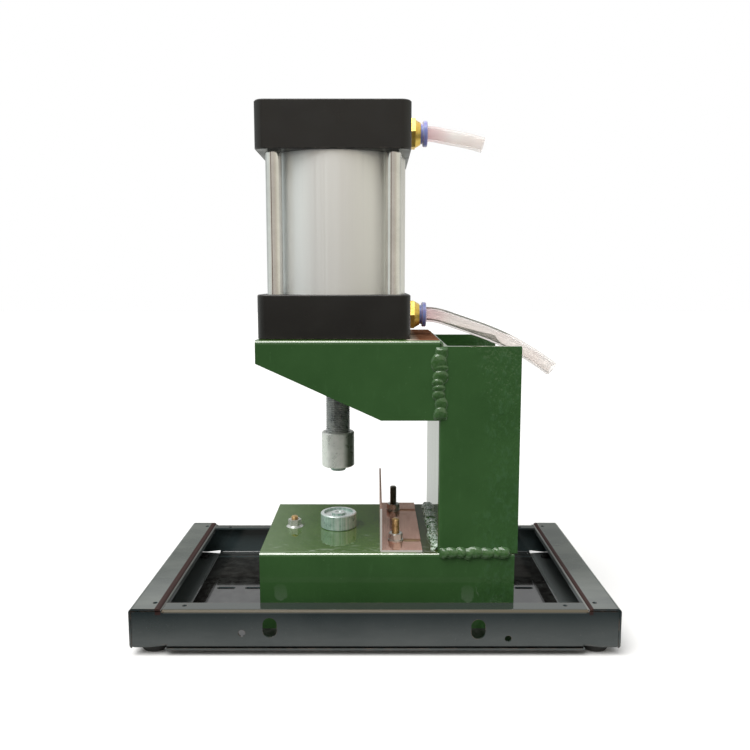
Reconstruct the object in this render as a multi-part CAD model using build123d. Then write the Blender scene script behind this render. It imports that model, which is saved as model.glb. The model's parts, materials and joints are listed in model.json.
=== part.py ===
from build123d import *
import os

# Pneumatic bench rivet press: an air cylinder on a welded C frame, standing in a sheet-steel tray.
# Z 0 is the surface the rubber feet stand on; X 0, Y 0 is the middle of the tray.
# +X points from the throat to the back of the C frame, and -Y is the front, one of the tray's long sides.

# ---------- tray ----------
TRAY_HALF_WIDTH = 178.8
TRAY_HALF_DEPTH = 98.0
SHEET = 1.5
BEND_INSIDE = 1.5
PLATE_BOTTOM = 4.5
FLOOR_TOP = PLATE_BOTTOM + SHEET
SIDE_RAIL_TOP = 36.5
END_RAIL_TOP = SIDE_RAIL_TOP - SHEET
SIDE_FLANGE = 24.0
SIDE_LIP = 6.0
SIDE_FOOT_FLANGE = 26.0
FRONT_FLANGE = 13.5
BACK_FLANGE = 10.5
END_FOOT_FLANGE = 12.0
FRONT_CORNER_GAP = 1.0
BACK_CORNER_GAP = 0.2
SIDE_OVERHANG = 0.6
FOLD_CLEARANCE = 1.6
PLATE_NOTCH_X = 24.0
PLATE_NOTCH_Y = 29.0
FOOT_FLANGE_END = 96.2
FOOT_FLANGE_BEVEL = (13.0, 3.0)
TAB_HEEL_LENGTH = 12.7
TAB_HEEL_BOTTOM = 7.65
WALL_SLOTS = ((-76.6, 21.8), (75.2, 20.6))
WALL_SLOT_WIDTH = 10.4
WALL_SLOT_HEIGHT = 15.0
FRONT_HOLES = ((-97.0, 17.6), (97.0, 13.4))
FRONT_HOLE = 5.0
SMALL_HOLE = 3.6
END_HOLE_X = 140.0
END_HOLE_Y = 89.5
SIDE_HOLE_X = 162.0
SIDE_HOLE_Y = 88.0
FLOOR_SLOT_Y = 12.0
FLOOR_SLOT_XS = (105.2, 129.8)
FLOOR_SLOT_LENGTH = 16.5
FLOOR_SLOT_WIDTH = 4.8

# ---------- rubber feet ----------
FOOT_X = 164.0
FOOT_Y = 82.0
FOOT_DIAMETER = 20.0
FOOT_RECESS = 9.6
FOOT_RECESS_DEPTH = 3.4
FOOT_SCREW = 4.0
FOOT_SCREW_KEY = 2.5
FOOT_SCREW_LOW = 0.8
FOOT_SCREW_END = 11.0
FOOT_NUT_FLATS = 7.0
FOOT_NUT_HEIGHT = 2.4

# ---------- C frame, three lengths of one channel ----------
CHANNEL_DEPTH = 131.0
CHANNEL_FLANGE = 60.0
CHANNEL_WALL = 6.0
CHANNEL_EDGE = 3.0
HALF_CHANNEL = CHANNEL_DEPTH / 2
BASE_LEFT = -88.2
BASE_RIGHT = 106.4
BASE_TOP = 66.0
COLUMN_LEFT = 47.9
COLUMN_RIGHT = 108.5
COLUMN_TOP = 224.0
ARM_LEFT = -88.6
ARM_TOP = 228.5
ARM_BOTTOM = 168.0
ARM_NOSE_BOTTOM = 211.1
ARM_KINK_X = 5.7
WEB_UNDERSIDE = ARM_TOP - CHANNEL_WALL
WELD_WIDTH = 11.2
WELD_HEIGHT = 2.4
FILLET_WELD = 6.5
TOP_WELD_HALF_LENGTH = 58.0
WELD_END_GAP = 4.0

# ---------- air cylinder ----------
AXIS_X = -30.8
HEAD_SIDE = 115.0
HEAD_CORNER = 8.0
LOWER_HEAD_TOP = 261.8
UPPER_HEAD_BOTTOM = 367.1
CYLINDER_TOP = 402.1
BARREL_OUTSIDE = 110.0
BARREL_BORE = 100.0
SPIGOT = 8.0
SPIGOT_DIAMETER = 99.9
SEAL_GROOVE = 4.0
SEAL_GROOVE_DIAMETER = 94.0
TIE_ROD = 12.0
TIE_OFFSET = 44.5
NUT_POCKET = 18.0
UPPER_POCKET_DEPTH = 16.0
LOWER_POCKET_DEPTH = 20.0
UPPER_PORT_Z = 387.9
LOWER_PORT_Z = 244.8
PORT_THREAD = 20.9
PORT_DEPTH = 14.0
AIRWAY = 10.0
AIRWAY_X = 8.0
TIE_NUT_KEY = 11.0
TIE_NUT_KEY_DEPTH = 7.0
MOUNTING_HEX = 18.0
MOUNTING_HEX_HEIGHT = 7.5
MOUNTING_WASHER = 24.0
MOUNTING_WASHER_HEIGHT = 2.5
HEAD_RIGHT = AXIS_X + HEAD_SIDE / 2

# ---------- ram ----------
PISTON_TOP = 358.5
PISTON_BOTTOM = 326.5
PISTON_DIAMETER = 99.6
PISTON_RING_DIAMETER = 99.9
PISTON_POCKET = 36.0
PISTON_POCKET_DEPTH = 14.0
PISTON_NUT_FLATS = 24.0
PISTON_NUT_HEIGHT = 11.0
ROD = 25.0
ROD_NECK = 16.0
ROD_SHOULDER = 200.0
ROD_THREAD = 20.0
ROD_END = 135.6
BUSH_OUTSIDE = 31.0
BUSH_BORE = 25.1
SEAL_POCKET = 36.0
SEAL_POCKET_TOP = 241.0
HOLDER_DIAMETER = 27.0
HOLDER_TOP = 147.6
HOLDER_BOTTOM = 118.8
PUNCH_DIAMETER = 12.6
PUNCH_TIP = 114.9
PUNCH_SHANK = 10.0
PUNCH_SHANK_TOP = 132.0
SET_SCREW = 5.0
SET_SCREW_OUTER_END = 12.5
SET_SCREW_KEY = 2.5

# ---------- lower die ----------
LOWER_DIE_DIAMETER = 30.0
LOWER_DIE_TOP = 78.3
LOWER_DIE_RECESS = 24.4
LOWER_DIE_RECESS_DEPTH = 2.2
LOWER_DIE_POST = 11.4
LOWER_DIE_CUP_RADIUS = 3.4
LOWER_DIE_SHANK = 14.0
LOWER_DIE_SHANK_END = 49.0
LOWER_DIE_NUT_FLATS = 21.0
LOWER_DIE_NUT_HEIGHT = 8.0

# ---------- back gauge ----------
GAUGE_SHEET = 1.5
GAUGE_LEFT = 3.9
GAUGE_RIGHT = 36.2
GAUGE_TOP = 100.2
GAUGE_HALF_LENGTH = 63.0
GAUGE_SLOT = 6.6
GAUGE_BOLT_X = 16.3
GAUGE_BOLT_Y = 40.0
GAUGE_BACK_TRAVEL = 3.0
GAUGE_BOLT_LENGTHS = {-1: 25.5, 1: 29.6}
GAUGE_NUT_TURNS = {-1: 14.0, 1: -8.0}
GAUGE_WASHER = 12.0
GAUGE_WASHER_HEIGHT = 1.2

# ---------- M6 fasteners ----------
M6 = 6.0
M6_HOLE = 6.6
M6_HEX = 10.0
M6_HEAD_HEIGHT = 4.0
M6_NUT_HEIGHT = 5.0
M6_FLANGE = 14.2
M6_FLANGE_NUT_HEIGHT = 6.0

# ---------- clamp bolts ----------
CLAMP_BOLT_XS = (-67.9, 84.0)
CLAMP_BOLT_END = 75.0

# ---------- push-in tube fittings ----------
FITTING_HEX = 22.0
HEX_RIGHT = 31.8
NOSE_RIGHT = 36.0
NOSE_RADII = (10.9, 8.6)
RING_LEFT = 38.0
RING_RIGHT = 41.4
RING_DIAMETER = 20.0
RING_SLEEVE = 15.5
RING_SLEEVE_LEFT = 33.0
SOCKET = 15.7
SOCKET_LEFT = 24.0
TUBE = 12.0
TUBE_BORE = 8.0
TUBE_STOP = 20.0
TUBE_GRIP_RANGE = (27.4, 31.2)
HOSE_BEND_START = 42.5


# ---------- shared building blocks ----------
def block(x_range, y_range, z_range):
    """A rectangular block between three pairs of limits."""
    sizes = [pair[1] - pair[0] for pair in (x_range, y_range, z_range)]
    middle = [(pair[1] + pair[0]) / 2 for pair in (x_range, y_range, z_range)]
    return Pos(*middle) * Box(*sizes)


def upright(x, y, z_low, z_high, diameter):
    """A cylinder along Z."""
    return Pos(x, y, (z_low + z_high) / 2) * Cylinder(diameter / 2, z_high - z_low)


def along_x(x_low, x_high, y, z, diameter):
    """A cylinder along X."""
    return Pos((x_low + x_high) / 2, y, z) * Rot(0, 90, 0) * Cylinder(diameter / 2, x_high - x_low)


def along_y(x, y_low, y_high, z, diameter):
    """A cylinder along Y."""
    return Pos(x, (y_low + y_high) / 2, z) * Rot(90, 0, 0) * Cylinder(diameter / 2, y_high - y_low)


def hexagon(x, y, z_low, z_high, across_flats):
    """An upright hexagonal prism with two flats facing +Y and -Y."""
    outline = RegularPolygon(across_flats / 2, 6, major_radius=False)
    return Pos(x, y, z_low) * extrude(outline, z_high - z_low)


def ring(x, y, z_low, z_high, outside, inside):
    """An upright ring."""
    return upright(x, y, z_low, z_high, outside) - upright(x, y, z_low, z_high, inside)


def ring_along_x(x_low, x_high, z, outside, inside):
    """A ring around the X direction, on the Y 0 plane."""
    return along_x(x_low, x_high, 0, z, outside) - along_x(x_low, x_high, 0, z, inside)


def group(pieces):
    """Separate solids that share one node."""
    return Compound([solid for piece in pieces for solid in piece.solids()])


def corners(x_offset, y_offset):
    """The four corner positions of a rectangle around the origin."""
    return [(x * x_offset, y * y_offset) for x in (-1, 1) for y in (-1, 1)]


def tie_rod_places():
    """The four tie-rod positions around the cylinder's axis."""
    return [(AXIS_X + x, y) for x, y in corners(TIE_OFFSET, TIE_OFFSET)]


def mirrored(piece):
    """The same piece on the other side of the X 0 plane."""
    return mirror(piece, about=Plane.YZ)


def folded(points, plane, length):
    """A bent sheet: a polyline of outside faces, thickened to its left and extruded along the plane."""
    outline = FilletPolyline(*points, radius=BEND_INSIDE + SHEET)
    section = make_face(offset(outline, SHEET, side=Side.LEFT))
    return extrude(plane * section, length)


# ---------- tray ----------
def bottom_plate():
    """The flat floor of the tray, with a notch at each corner for the feet."""
    half_width = TRAY_HALF_WIDTH - SHEET
    plate = block((-half_width, half_width), (-TRAY_HALF_DEPTH, TRAY_HALF_DEPTH), (PLATE_BOTTOM, FLOOR_TOP))
    notch = Box(2 * PLATE_NOTCH_X, 2 * PLATE_NOTCH_Y, 4 * SHEET)
    for x, y in corners(half_width, TRAY_HALF_DEPTH):
        plate -= Pos(x, y, PLATE_BOTTOM) * notch
    slot_face = SlotOverall(FLOOR_SLOT_LENGTH, FLOOR_SLOT_WIDTH)
    slot = Pos(0, FLOOR_SLOT_Y, PLATE_BOTTOM) * extrude(slot_face, SHEET)
    for x in FLOOR_SLOT_XS:
        plate -= Pos(x, 0, 0) * slot
        plate -= Pos(-x, 0, 0) * slot
    for x in CLAMP_BOLT_XS:
        plate -= upright(x, 0, 0, FLOOR_TOP + 1, M6_HOLE)
    return plate


def left_side_rail():
    """The left wall, folded inward at the top and at the bottom, with a lip on the top flange."""
    wall = -TRAY_HALF_WIDTH
    points = [
        (wall + SIDE_FOOT_FLANGE, FLOOR_TOP),
        (wall, FLOOR_TOP),
        (wall, SIDE_RAIL_TOP),
        (wall + SIDE_FLANGE, SIDE_RAIL_TOP),
        (wall + SIDE_FLANGE, SIDE_RAIL_TOP - SIDE_LIP),
    ]
    points.reverse()
    half_length = TRAY_HALF_DEPTH + SIDE_OVERHANG
    past_end = TRAY_HALF_DEPTH + 9
    rail = folded(points, Plane.XZ.offset(-half_length), 2 * half_length)
    flange_tip = wall + SIDE_FOOT_FLANGE
    bevel_run, bevel_rise = FOOT_FLANGE_BEVEL
    foot_end = Polyline(
        (wall + SHEET, past_end),
        (wall + SHEET, FOOT_FLANGE_END),
        (flange_tip - bevel_run, FOOT_FLANGE_END),
        (flange_tip, FOOT_FLANGE_END - bevel_rise),
        (flange_tip + 1, past_end),
        close=True,
    )
    inside_end_wall = TRAY_HALF_DEPTH - SHEET - 0.3
    lip_end = block((wall + SHEET, 0), (inside_end_wall, past_end), (20, END_RAIL_TOP))
    for cut in (extrude(make_face(foot_end), FLOOR_TOP + SHEET + FOLD_CLEARANCE), lip_end):
        rail -= cut
        rail -= mirror(cut, about=Plane.XZ)
    for y in (-SIDE_HOLE_Y, SIDE_HOLE_Y):
        rail -= upright(-SIDE_HOLE_X, y, 20, SIDE_RAIL_TOP + 1, SMALL_HOLE)
    for y in (-FOOT_Y, FOOT_Y):
        rail -= upright(-FOOT_X, y, 0, 20, FOOT_SCREW)
    return rail


def right_side_rail():
    """The right wall, a mirror image of the left one."""
    return mirrored(left_side_rail())


def corner_tab(start, low, high):
    """The plain end of a wall on the -Y side, with its bottom edge cut at a slope."""
    end = TRAY_HALF_WIDTH - SHEET - 0.1
    outline = [
        (start, low),
        (end - TAB_HEEL_LENGTH, TAB_HEEL_BOTTOM),
        (end, TAB_HEEL_BOTTOM),
        (end, high),
        (start, high),
    ]
    inside_face = Plane.XZ.offset(TRAY_HALF_DEPTH - SHEET)
    return extrude(inside_face * make_face(Polyline(*outline, close=True)), SHEET)


def end_rail(top_flange, corner_gap):
    """A wall on the -Y side: a channel between the side rails, with a plain tab at each corner."""
    flange_half = TRAY_HALF_WIDTH - SIDE_FLANGE - 0.3
    foot_half = TRAY_HALF_WIDTH - SIDE_FOOT_FLANGE - 1.0
    wall = -TRAY_HALF_DEPTH
    tab_low = FLOOR_TOP + SHEET + FOLD_CLEARANCE
    points = [
        (wall + END_FOOT_FLANGE, FLOOR_TOP),
        (wall, FLOOR_TOP),
        (wall, END_RAIL_TOP),
        (wall + top_flange, END_RAIL_TOP),
    ]
    points.reverse()
    rail = folded(points, Plane.YZ.offset(-flange_half), 2 * flange_half)
    for side in (-1, 1):
        trim = block((foot_half, TRAY_HALF_WIDTH), (wall, 0), (0, tab_low))
        rail -= trim if side > 0 else mirrored(trim)
    tab = corner_tab(flange_half - 1, tab_low, END_RAIL_TOP - corner_gap)
    rail += tab
    rail += mirrored(tab)
    slot_shape = extrude(Plane.XZ * SlotOverall(WALL_SLOT_HEIGHT, WALL_SLOT_WIDTH, rotation=90), 20)
    for x, z in WALL_SLOTS:
        rail -= Pos(x, wall + 10, z) * slot_shape
    for x in (-END_HOLE_X, END_HOLE_X):
        rail -= upright(x, -END_HOLE_Y, 20, 50, SMALL_HOLE)
    return rail


def front_rail():
    """The wall on the -Y side, with one more small hole near each slot."""
    rail = end_rail(FRONT_FLANGE, FRONT_CORNER_GAP)
    outside, inside = -TRAY_HALF_DEPTH - 1, -TRAY_HALF_DEPTH + 5
    for x, z in FRONT_HOLES:
        rail -= along_y(x, outside, inside, z, FRONT_HOLE)
    return rail


def back_rail():
    """The wall on the +Y side."""
    return mirror(end_rail(BACK_FLANGE, BACK_CORNER_GAP), about=Plane.XZ)


def rubber_feet():
    """Four round bumpers, each with a recess for its screw head."""
    feet = []
    for x, y in corners(FOOT_X, FOOT_Y):
        foot = upright(x, y, 0, FLOOR_TOP, FOOT_DIAMETER)
        foot = chamfer(foot.edges().group_by(Axis.Z)[0], 0.8)
        foot -= upright(x, y, 0, FOOT_RECESS_DEPTH, FOOT_RECESS)
        foot -= upright(x, y, 0, FLOOR_TOP, FOOT_SCREW)
        feet.append(foot)
    return group(feet)


def foot_screws():
    """Pan-head screws that hold the feet, driven from below."""
    screws = []
    for x, y in corners(FOOT_X, FOOT_Y):
        head = upright(x, y, FOOT_SCREW_LOW, FOOT_RECESS_DEPTH, FOOT_RECESS - 1.6)
        head = fillet(head.edges().group_by(Axis.Z)[0], 0.9)
        head -= hexagon(x, y, FOOT_SCREW_LOW, FOOT_SCREW_LOW + 1.2, FOOT_SCREW_KEY)
        screws.append(head + upright(x, y, FOOT_RECESS_DEPTH, FOOT_SCREW_END, FOOT_SCREW))
    return group(screws)


def foot_nuts():
    """Thin nuts on the feet's screws, inside the tray."""
    sizes = (FLOOR_TOP + SHEET, FOOT_NUT_FLATS, FOOT_NUT_HEIGHT, FOOT_SCREW)
    return group([plain_nut(x, y, *sizes) for x, y in corners(FOOT_X, FOOT_Y)])


# ---------- fasteners ----------
def flange_nut(x, y, z, across_flats, flange, height, thread):
    """A hexagon nut on a dished flange."""
    dish = 1.5
    skirt = Pos(x, y, z + dish / 2) * Cone(flange / 2, across_flats / 2, dish)
    turned = upright(x, y, z, z + height, across_flats * 1.12)
    crown = hexagon(x, y, z, z + height, across_flats) & turned
    return (skirt + crown) - upright(x, y, z - 1, z + height + 1, thread)


def plain_nut(x, y, z, across_flats, height, thread):
    """A hexagon nut with its corners turned off."""
    body = hexagon(x, y, z, z + height, across_flats)
    corner_cone = Pos(x, y, z + height / 2) * Cylinder(across_flats * 0.57, height)
    corner_cone = chamfer(corner_cone.edges().filter_by(GeomType.CIRCLE), 0.06 * across_flats)
    return (body & corner_cone) - upright(x, y, z - 1, z + height + 1, thread)


def hex_bolt(x, y, head_low, head_high, across_flats, thread, end):
    """A bolt standing head down, with a chamfered end."""
    head = hexagon(x, y, head_low, head_high, across_flats)
    shank = upright(x, y, head_high, end, thread)
    shank = chamfer(shank.edges().group_by(Axis.Z)[-1], 0.12 * thread)
    return head + shank


# ---------- C frame ----------
def channel_face():
    """The channel's cross-section: web at the top, flanges down, in local XY with the web face on Y 0."""
    hanging = (Align.CENTER, Align.MAX)
    outer = Rectangle(CHANNEL_DEPTH, CHANNEL_FLANGE, align=hanging)
    outer = fillet(outer.vertices().group_by(Axis.Y)[-1], CHANNEL_EDGE)
    inner = Pos(0, -CHANNEL_WALL) * Rectangle(CHANNEL_DEPTH - 2 * CHANNEL_WALL, CHANNEL_FLANGE, align=hanging)
    inner = fillet(inner.vertices().group_by(Axis.Y)[-1], CHANNEL_EDGE)
    return outer - inner


def channel_along_x(x_low, x_high, top):
    """A length of channel lying along X, with its web up."""
    section = Plane(origin=(x_low, 0, top), x_dir=(0, 1, 0), z_dir=(1, 0, 0))
    return extrude(section * channel_face(), x_high - x_low)


def base_channel():
    """The bottom length: web up, carrying the lower die, the gauge and the column."""
    base = channel_along_x(BASE_LEFT, BASE_RIGHT, BASE_TOP)
    below, above = BASE_TOP - CHANNEL_WALL - 4, BASE_TOP + 1
    base -= upright(AXIS_X, 0, below, above, LOWER_DIE_SHANK + 0.2)
    for x in CLAMP_BOLT_XS:
        base -= upright(x, 0, below, above, M6_HOLE)
    for y in (-GAUGE_BOLT_Y, GAUGE_BOLT_Y):
        base -= upright(GAUGE_BOLT_X, y, below, above, M6_HOLE)
    return base


def column_channel():
    """The upright length: web towards the throat, open towards +X and at the top."""
    section = Plane(origin=(COLUMN_LEFT, 0, BASE_TOP), x_dir=(0, 1, 0), z_dir=(0, 0, 1))
    stretch = COLUMN_RIGHT - COLUMN_LEFT - CHANNEL_FLANGE
    column = extrude(section * channel_face(), COLUMN_TOP - BASE_TOP)
    flange_ends = []
    for side in (-1, 1):
        y_pair = sorted((side * HALF_CHANNEL, side * (HALF_CHANNEL - CHANNEL_WALL)))
        flange_ends.append(block((COLUMN_RIGHT - stretch, COLUMN_RIGHT), y_pair, (BASE_TOP, COLUMN_TOP)))
    return column + flange_ends


def arm_channel():
    """The top length: web up, its flanges cut away towards the nose."""
    arm = channel_along_x(ARM_LEFT, COLUMN_LEFT, ARM_TOP)
    under_nose = Polyline(
        (ARM_LEFT - 1, ARM_NOSE_BOTTOM),
        (ARM_LEFT, ARM_NOSE_BOTTOM),
        (ARM_KINK_X, ARM_BOTTOM),
        (COLUMN_LEFT + 1, ARM_BOTTOM),
        (COLUMN_LEFT + 1, ARM_BOTTOM - 20),
        (ARM_LEFT - 1, ARM_BOTTOM - 20),
        close=True,
    )
    arm -= extrude(Plane.XZ * make_face(under_nose), CHANNEL_DEPTH, both=True)
    arm -= upright(AXIS_X, 0, WEB_UNDERSIDE - 5, ARM_TOP + 1, SEAL_POCKET + 2)
    for x, y in tie_rod_places():
        arm -= upright(x, y, WEB_UNDERSIDE - 5, ARM_TOP + 1, TIE_ROD + 1)
    return arm


def bead(length):
    """A weld bead: a half-ellipse ridge along local X, rising in local Z."""
    upper_half = Pos(0, WELD_HEIGHT) * Rectangle(2 * WELD_WIDTH, 2 * WELD_HEIGHT)
    section = Ellipse(WELD_WIDTH / 2, WELD_HEIGHT) & upper_half
    return Pos(-length / 2, 0, 0) * extrude(Plane.YZ * section, length)


def fillet_bead(length):
    """A corner weld along local X, filling the corner between local +Y and local +Z."""
    triangle = make_face(Polyline((0, 0), (FILLET_WELD, 0), (0, FILLET_WELD), close=True))
    return Pos(-length / 2, 0, 0) * extrude(Plane.YZ * triangle, length)


def arm_weld_beads():
    """Beads down both sides of the joint between arm and column, and across its top."""
    length = COLUMN_TOP - ARM_BOTTOM
    middle = (COLUMN_TOP + ARM_BOTTOM) / 2
    front = Pos(COLUMN_LEFT, -HALF_CHANNEL, middle) * Rot(90, 0, 0) * Rot(0, 0, 90) * bead(length)
    top_gap = ARM_TOP - COLUMN_TOP
    across_y = (-TOP_WELD_HALF_LENGTH, TOP_WELD_HALF_LENGTH)
    across = block((COLUMN_LEFT, COLUMN_LEFT + top_gap), across_y, (COLUMN_TOP, ARM_TOP))
    outer_edge = across.edges().filter_by(Axis.Y).group_by(Axis.X)[-1].sort_by(Axis.Z)[-1]
    across = chamfer(outer_edge, top_gap * 0.8)
    return group([front, mirror(front, about=Plane.XZ), across])


def column_weld_beads():
    """Beads along both outer sides of the column's foot, and a corner weld along its web."""
    length = COLUMN_RIGHT - COLUMN_LEFT - WELD_END_GAP
    middle = (COLUMN_RIGHT + COLUMN_LEFT - WELD_END_GAP) / 2
    front = Pos(middle, -HALF_CHANNEL, BASE_TOP) * Rot(90, 0, 0) * bead(length)
    web = Pos(COLUMN_LEFT, 0, BASE_TOP) * Rot(0, 0, 90) * fillet_bead(2 * HALF_CHANNEL - 12)
    return group([front, mirror(front, about=Plane.XZ), web])


def frame_clamp_bolts():
    """Long bolts from under the tray up through the base web."""
    head_low = PLATE_BOTTOM - M6_HEAD_HEIGHT
    return group([hex_bolt(x, 0, head_low, PLATE_BOTTOM, M6_HEX, M6, CLAMP_BOLT_END) for x in CLAMP_BOLT_XS])


def clamp_flange_nuts():
    """Flange nuts that pull the base down onto the tray."""
    sizes = (BASE_TOP, M6_HEX, M6_FLANGE, M6_FLANGE_NUT_HEIGHT, M6)
    return group([flange_nut(x, 0, *sizes) for x in CLAMP_BOLT_XS])


# ---------- air cylinder ----------
def head_block(z_low, z_high):
    """A square cylinder head with rounded upright corners and small edge chamfers."""
    outline = RectangleRounded(HEAD_SIDE, HEAD_SIDE, HEAD_CORNER)
    head = Pos(AXIS_X, 0, z_low) * extrude(outline, z_high - z_low)
    rims = head.edges().group_by(Axis.Z)
    return chamfer(rims[0] + rims[-1], 0.8)


def spigot(z_low, z_high, groove_low):
    """The round step of a head that enters the barrel, with its seal groove."""
    step = upright(AXIS_X, 0, z_low, z_high, SPIGOT_DIAMETER)
    groove = ring(AXIS_X, 0, groove_low, groove_low + SEAL_GROOVE, SPIGOT_DIAMETER + 2, SEAL_GROOVE_DIAMETER)
    return step - groove


def port(z):
    """The threaded air port and the level part of its airway, as a cutting tool."""
    threaded = along_x(HEAD_RIGHT - PORT_DEPTH, HEAD_RIGHT + 1, 0, z, PORT_THREAD)
    return threaded + along_x(AIRWAY_X - AIRWAY / 2, HEAD_RIGHT, 0, z, AIRWAY)


def lower_head():
    """The rod-end head, with the bush and seal bores and the lower air port."""
    head = head_block(ARM_TOP, LOWER_HEAD_TOP)
    head += spigot(LOWER_HEAD_TOP, LOWER_HEAD_TOP + SPIGOT, LOWER_HEAD_TOP + 2)
    head -= upright(AXIS_X, 0, ARM_TOP - 1, SEAL_POCKET_TOP, SEAL_POCKET)
    head -= upright(AXIS_X, 0, ARM_TOP, LOWER_HEAD_TOP + SPIGOT + 1, BUSH_OUTSIDE)
    head -= port(LOWER_PORT_Z)
    head -= upright(AIRWAY_X, 0, LOWER_PORT_Z, LOWER_HEAD_TOP + SPIGOT + 1, AIRWAY * 0.8)
    for x, y in tie_rod_places():
        head -= upright(x, y, ARM_TOP - 1, ARM_TOP + LOWER_POCKET_DEPTH, NUT_POCKET)
        head -= upright(x, y, ARM_TOP, LOWER_HEAD_TOP + 1, TIE_ROD)
    return head


def upper_head():
    """The cap-end head, with the upper air port and the pockets for the tie-rod nuts."""
    head = head_block(UPPER_HEAD_BOTTOM, CYLINDER_TOP)
    head += spigot(UPPER_HEAD_BOTTOM - SPIGOT, UPPER_HEAD_BOTTOM, UPPER_HEAD_BOTTOM - 2 - SEAL_GROOVE)
    head -= port(UPPER_PORT_Z)
    head -= upright(AIRWAY_X, 0, UPPER_HEAD_BOTTOM - SPIGOT - 1, UPPER_PORT_Z, AIRWAY * 0.8)
    for x, y in tie_rod_places():
        head -= upright(x, y, CYLINDER_TOP - UPPER_POCKET_DEPTH, CYLINDER_TOP + 1, NUT_POCKET)
        head -= upright(x, y, UPPER_HEAD_BOTTOM - 1, CYLINDER_TOP, TIE_ROD)
    return head


def barrel_tube():
    """The plain tube between the heads."""
    return ring(AXIS_X, 0, LOWER_HEAD_TOP, UPPER_HEAD_BOTTOM, BARREL_OUTSIDE, BARREL_BORE)


def barrel_seals():
    """O-rings between each head's spigot and the barrel."""
    lows = (LOWER_HEAD_TOP + 2, UPPER_HEAD_BOTTOM - 2 - SEAL_GROOVE)
    return group([ring(AXIS_X, 0, z, z + SEAL_GROOVE, BARREL_BORE, SEAL_GROOVE_DIAMETER) for z in lows])


def tie_rods():
    """Four rods that hold the heads onto the barrel."""
    low = ARM_TOP + 11
    high = CYLINDER_TOP - TIE_NUT_KEY_DEPTH
    return group([upright(x, y, low, high, TIE_ROD) for x, y in tie_rod_places()])


def tie_rod_nuts():
    """Round socket nuts in the upper head's pockets."""
    low, key_low = CYLINDER_TOP - UPPER_POCKET_DEPTH, CYLINDER_TOP - TIE_NUT_KEY_DEPTH
    nuts = []
    for x, y in tie_rod_places():
        nut = upright(x, y, low, CYLINDER_TOP - 1, NUT_POCKET)
        nut -= upright(x, y, low, key_low, TIE_ROD)
        nut -= hexagon(x, y, key_low, CYLINDER_TOP, TIE_NUT_KEY)
        nuts.append(nut)
    return group(nuts)


def mounting_sleeve_nuts():
    """Sleeve nuts in the lower head: each joins a tie rod above to a mounting screw below."""
    top = ARM_TOP + LOWER_POCKET_DEPTH
    return group([ring(x, y, ARM_TOP, top, NUT_POCKET, TIE_ROD) for x, y in tie_rod_places()])


def cylinder_mounting_screws():
    """Hexagon screws from below the arm's web into the sleeve nuts."""
    head_top = WEB_UNDERSIDE - MOUNTING_WASHER_HEIGHT
    head_low = head_top - MOUNTING_HEX_HEIGHT
    sizes = (head_low, head_top, MOUNTING_HEX, TIE_ROD, ARM_TOP + LOWER_POCKET_DEPTH / 2)
    return group([hex_bolt(x, y, *sizes) for x, y in tie_rod_places()])


def mounting_washers():
    """Washers between the mounting screws and the web."""
    sizes = (WEB_UNDERSIDE - MOUNTING_WASHER_HEIGHT, WEB_UNDERSIDE, MOUNTING_WASHER, TIE_ROD + 1)
    return group([ring(x, y, *sizes) for x, y in tie_rod_places()])


def rod_bushing():
    """The plain bronze bush that guides the rod."""
    return ring(AXIS_X, 0, SEAL_POCKET_TOP, LOWER_HEAD_TOP + SPIGOT - 1, BUSH_OUTSIDE, BUSH_BORE)


def rod_seal():
    """The lip seal above the wiper."""
    return ring(AXIS_X, 0, SEAL_POCKET_TOP - 6, SEAL_POCKET_TOP, SEAL_POCKET, BUSH_BORE)


def rod_wiper():
    """The scraper ring at the mouth of the lower head."""
    return ring(AXIS_X, 0, ARM_TOP + 0.5, SEAL_POCKET_TOP - 6, SEAL_POCKET, BUSH_BORE)


# ---------- ram ----------
def piston():
    """The piston, with two seal grooves, a guide-ring groove and a pocket for its nut."""
    body = upright(AXIS_X, 0, PISTON_BOTTOM, PISTON_TOP, PISTON_DIAMETER)
    for low, height, floor in piston_grooves():
        body -= ring(AXIS_X, 0, low, low + height, PISTON_DIAMETER + 2, floor)
    body -= upright(AXIS_X, 0, PISTON_TOP - PISTON_POCKET_DEPTH, PISTON_TOP + 1, PISTON_POCKET)
    return body - upright(AXIS_X, 0, PISTON_BOTTOM - 1, PISTON_TOP, ROD_NECK)


def piston_grooves():
    """Each groove as its lower edge, its height and its floor diameter: seal, guide ring, seal."""
    return [
        (PISTON_BOTTOM + 4, 5.0, 88.0),
        (PISTON_BOTTOM + 11.5, 9.0, 95.0),
        (PISTON_TOP - 9, 5.0, 88.0),
    ]


def piston_seals():
    """The two rubber seals of the piston."""
    grooves = piston_grooves()[::2]
    sizes = [(low, low + height, PISTON_RING_DIAMETER, floor) for low, height, floor in grooves]
    return group([ring(AXIS_X, 0, *size) for size in sizes])


def piston_guide_ring():
    """The plastic band that keeps the piston centred."""
    low, height, floor = piston_grooves()[1]
    return ring(AXIS_X, 0, low, low + height, PISTON_RING_DIAMETER, floor)


def piston_nut():
    """The nut that holds the piston on its rod."""
    low = PISTON_TOP - PISTON_POCKET_DEPTH
    return plain_nut(AXIS_X, 0, low, PISTON_NUT_FLATS, PISTON_NUT_HEIGHT, ROD_NECK)


def piston_rod():
    """The rod: a neck through the piston, the ground shank and the long thread below it."""
    neck = upright(AXIS_X, 0, PISTON_BOTTOM, PISTON_TOP - 2, ROD_NECK)
    shank = upright(AXIS_X, 0, ROD_SHOULDER, PISTON_BOTTOM, ROD)
    shank = chamfer(shank.edges().group_by(Axis.Z)[0], 1.5)
    return neck + shank + upright(AXIS_X, 0, ROD_END, ROD_SHOULDER, ROD_THREAD)


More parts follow.
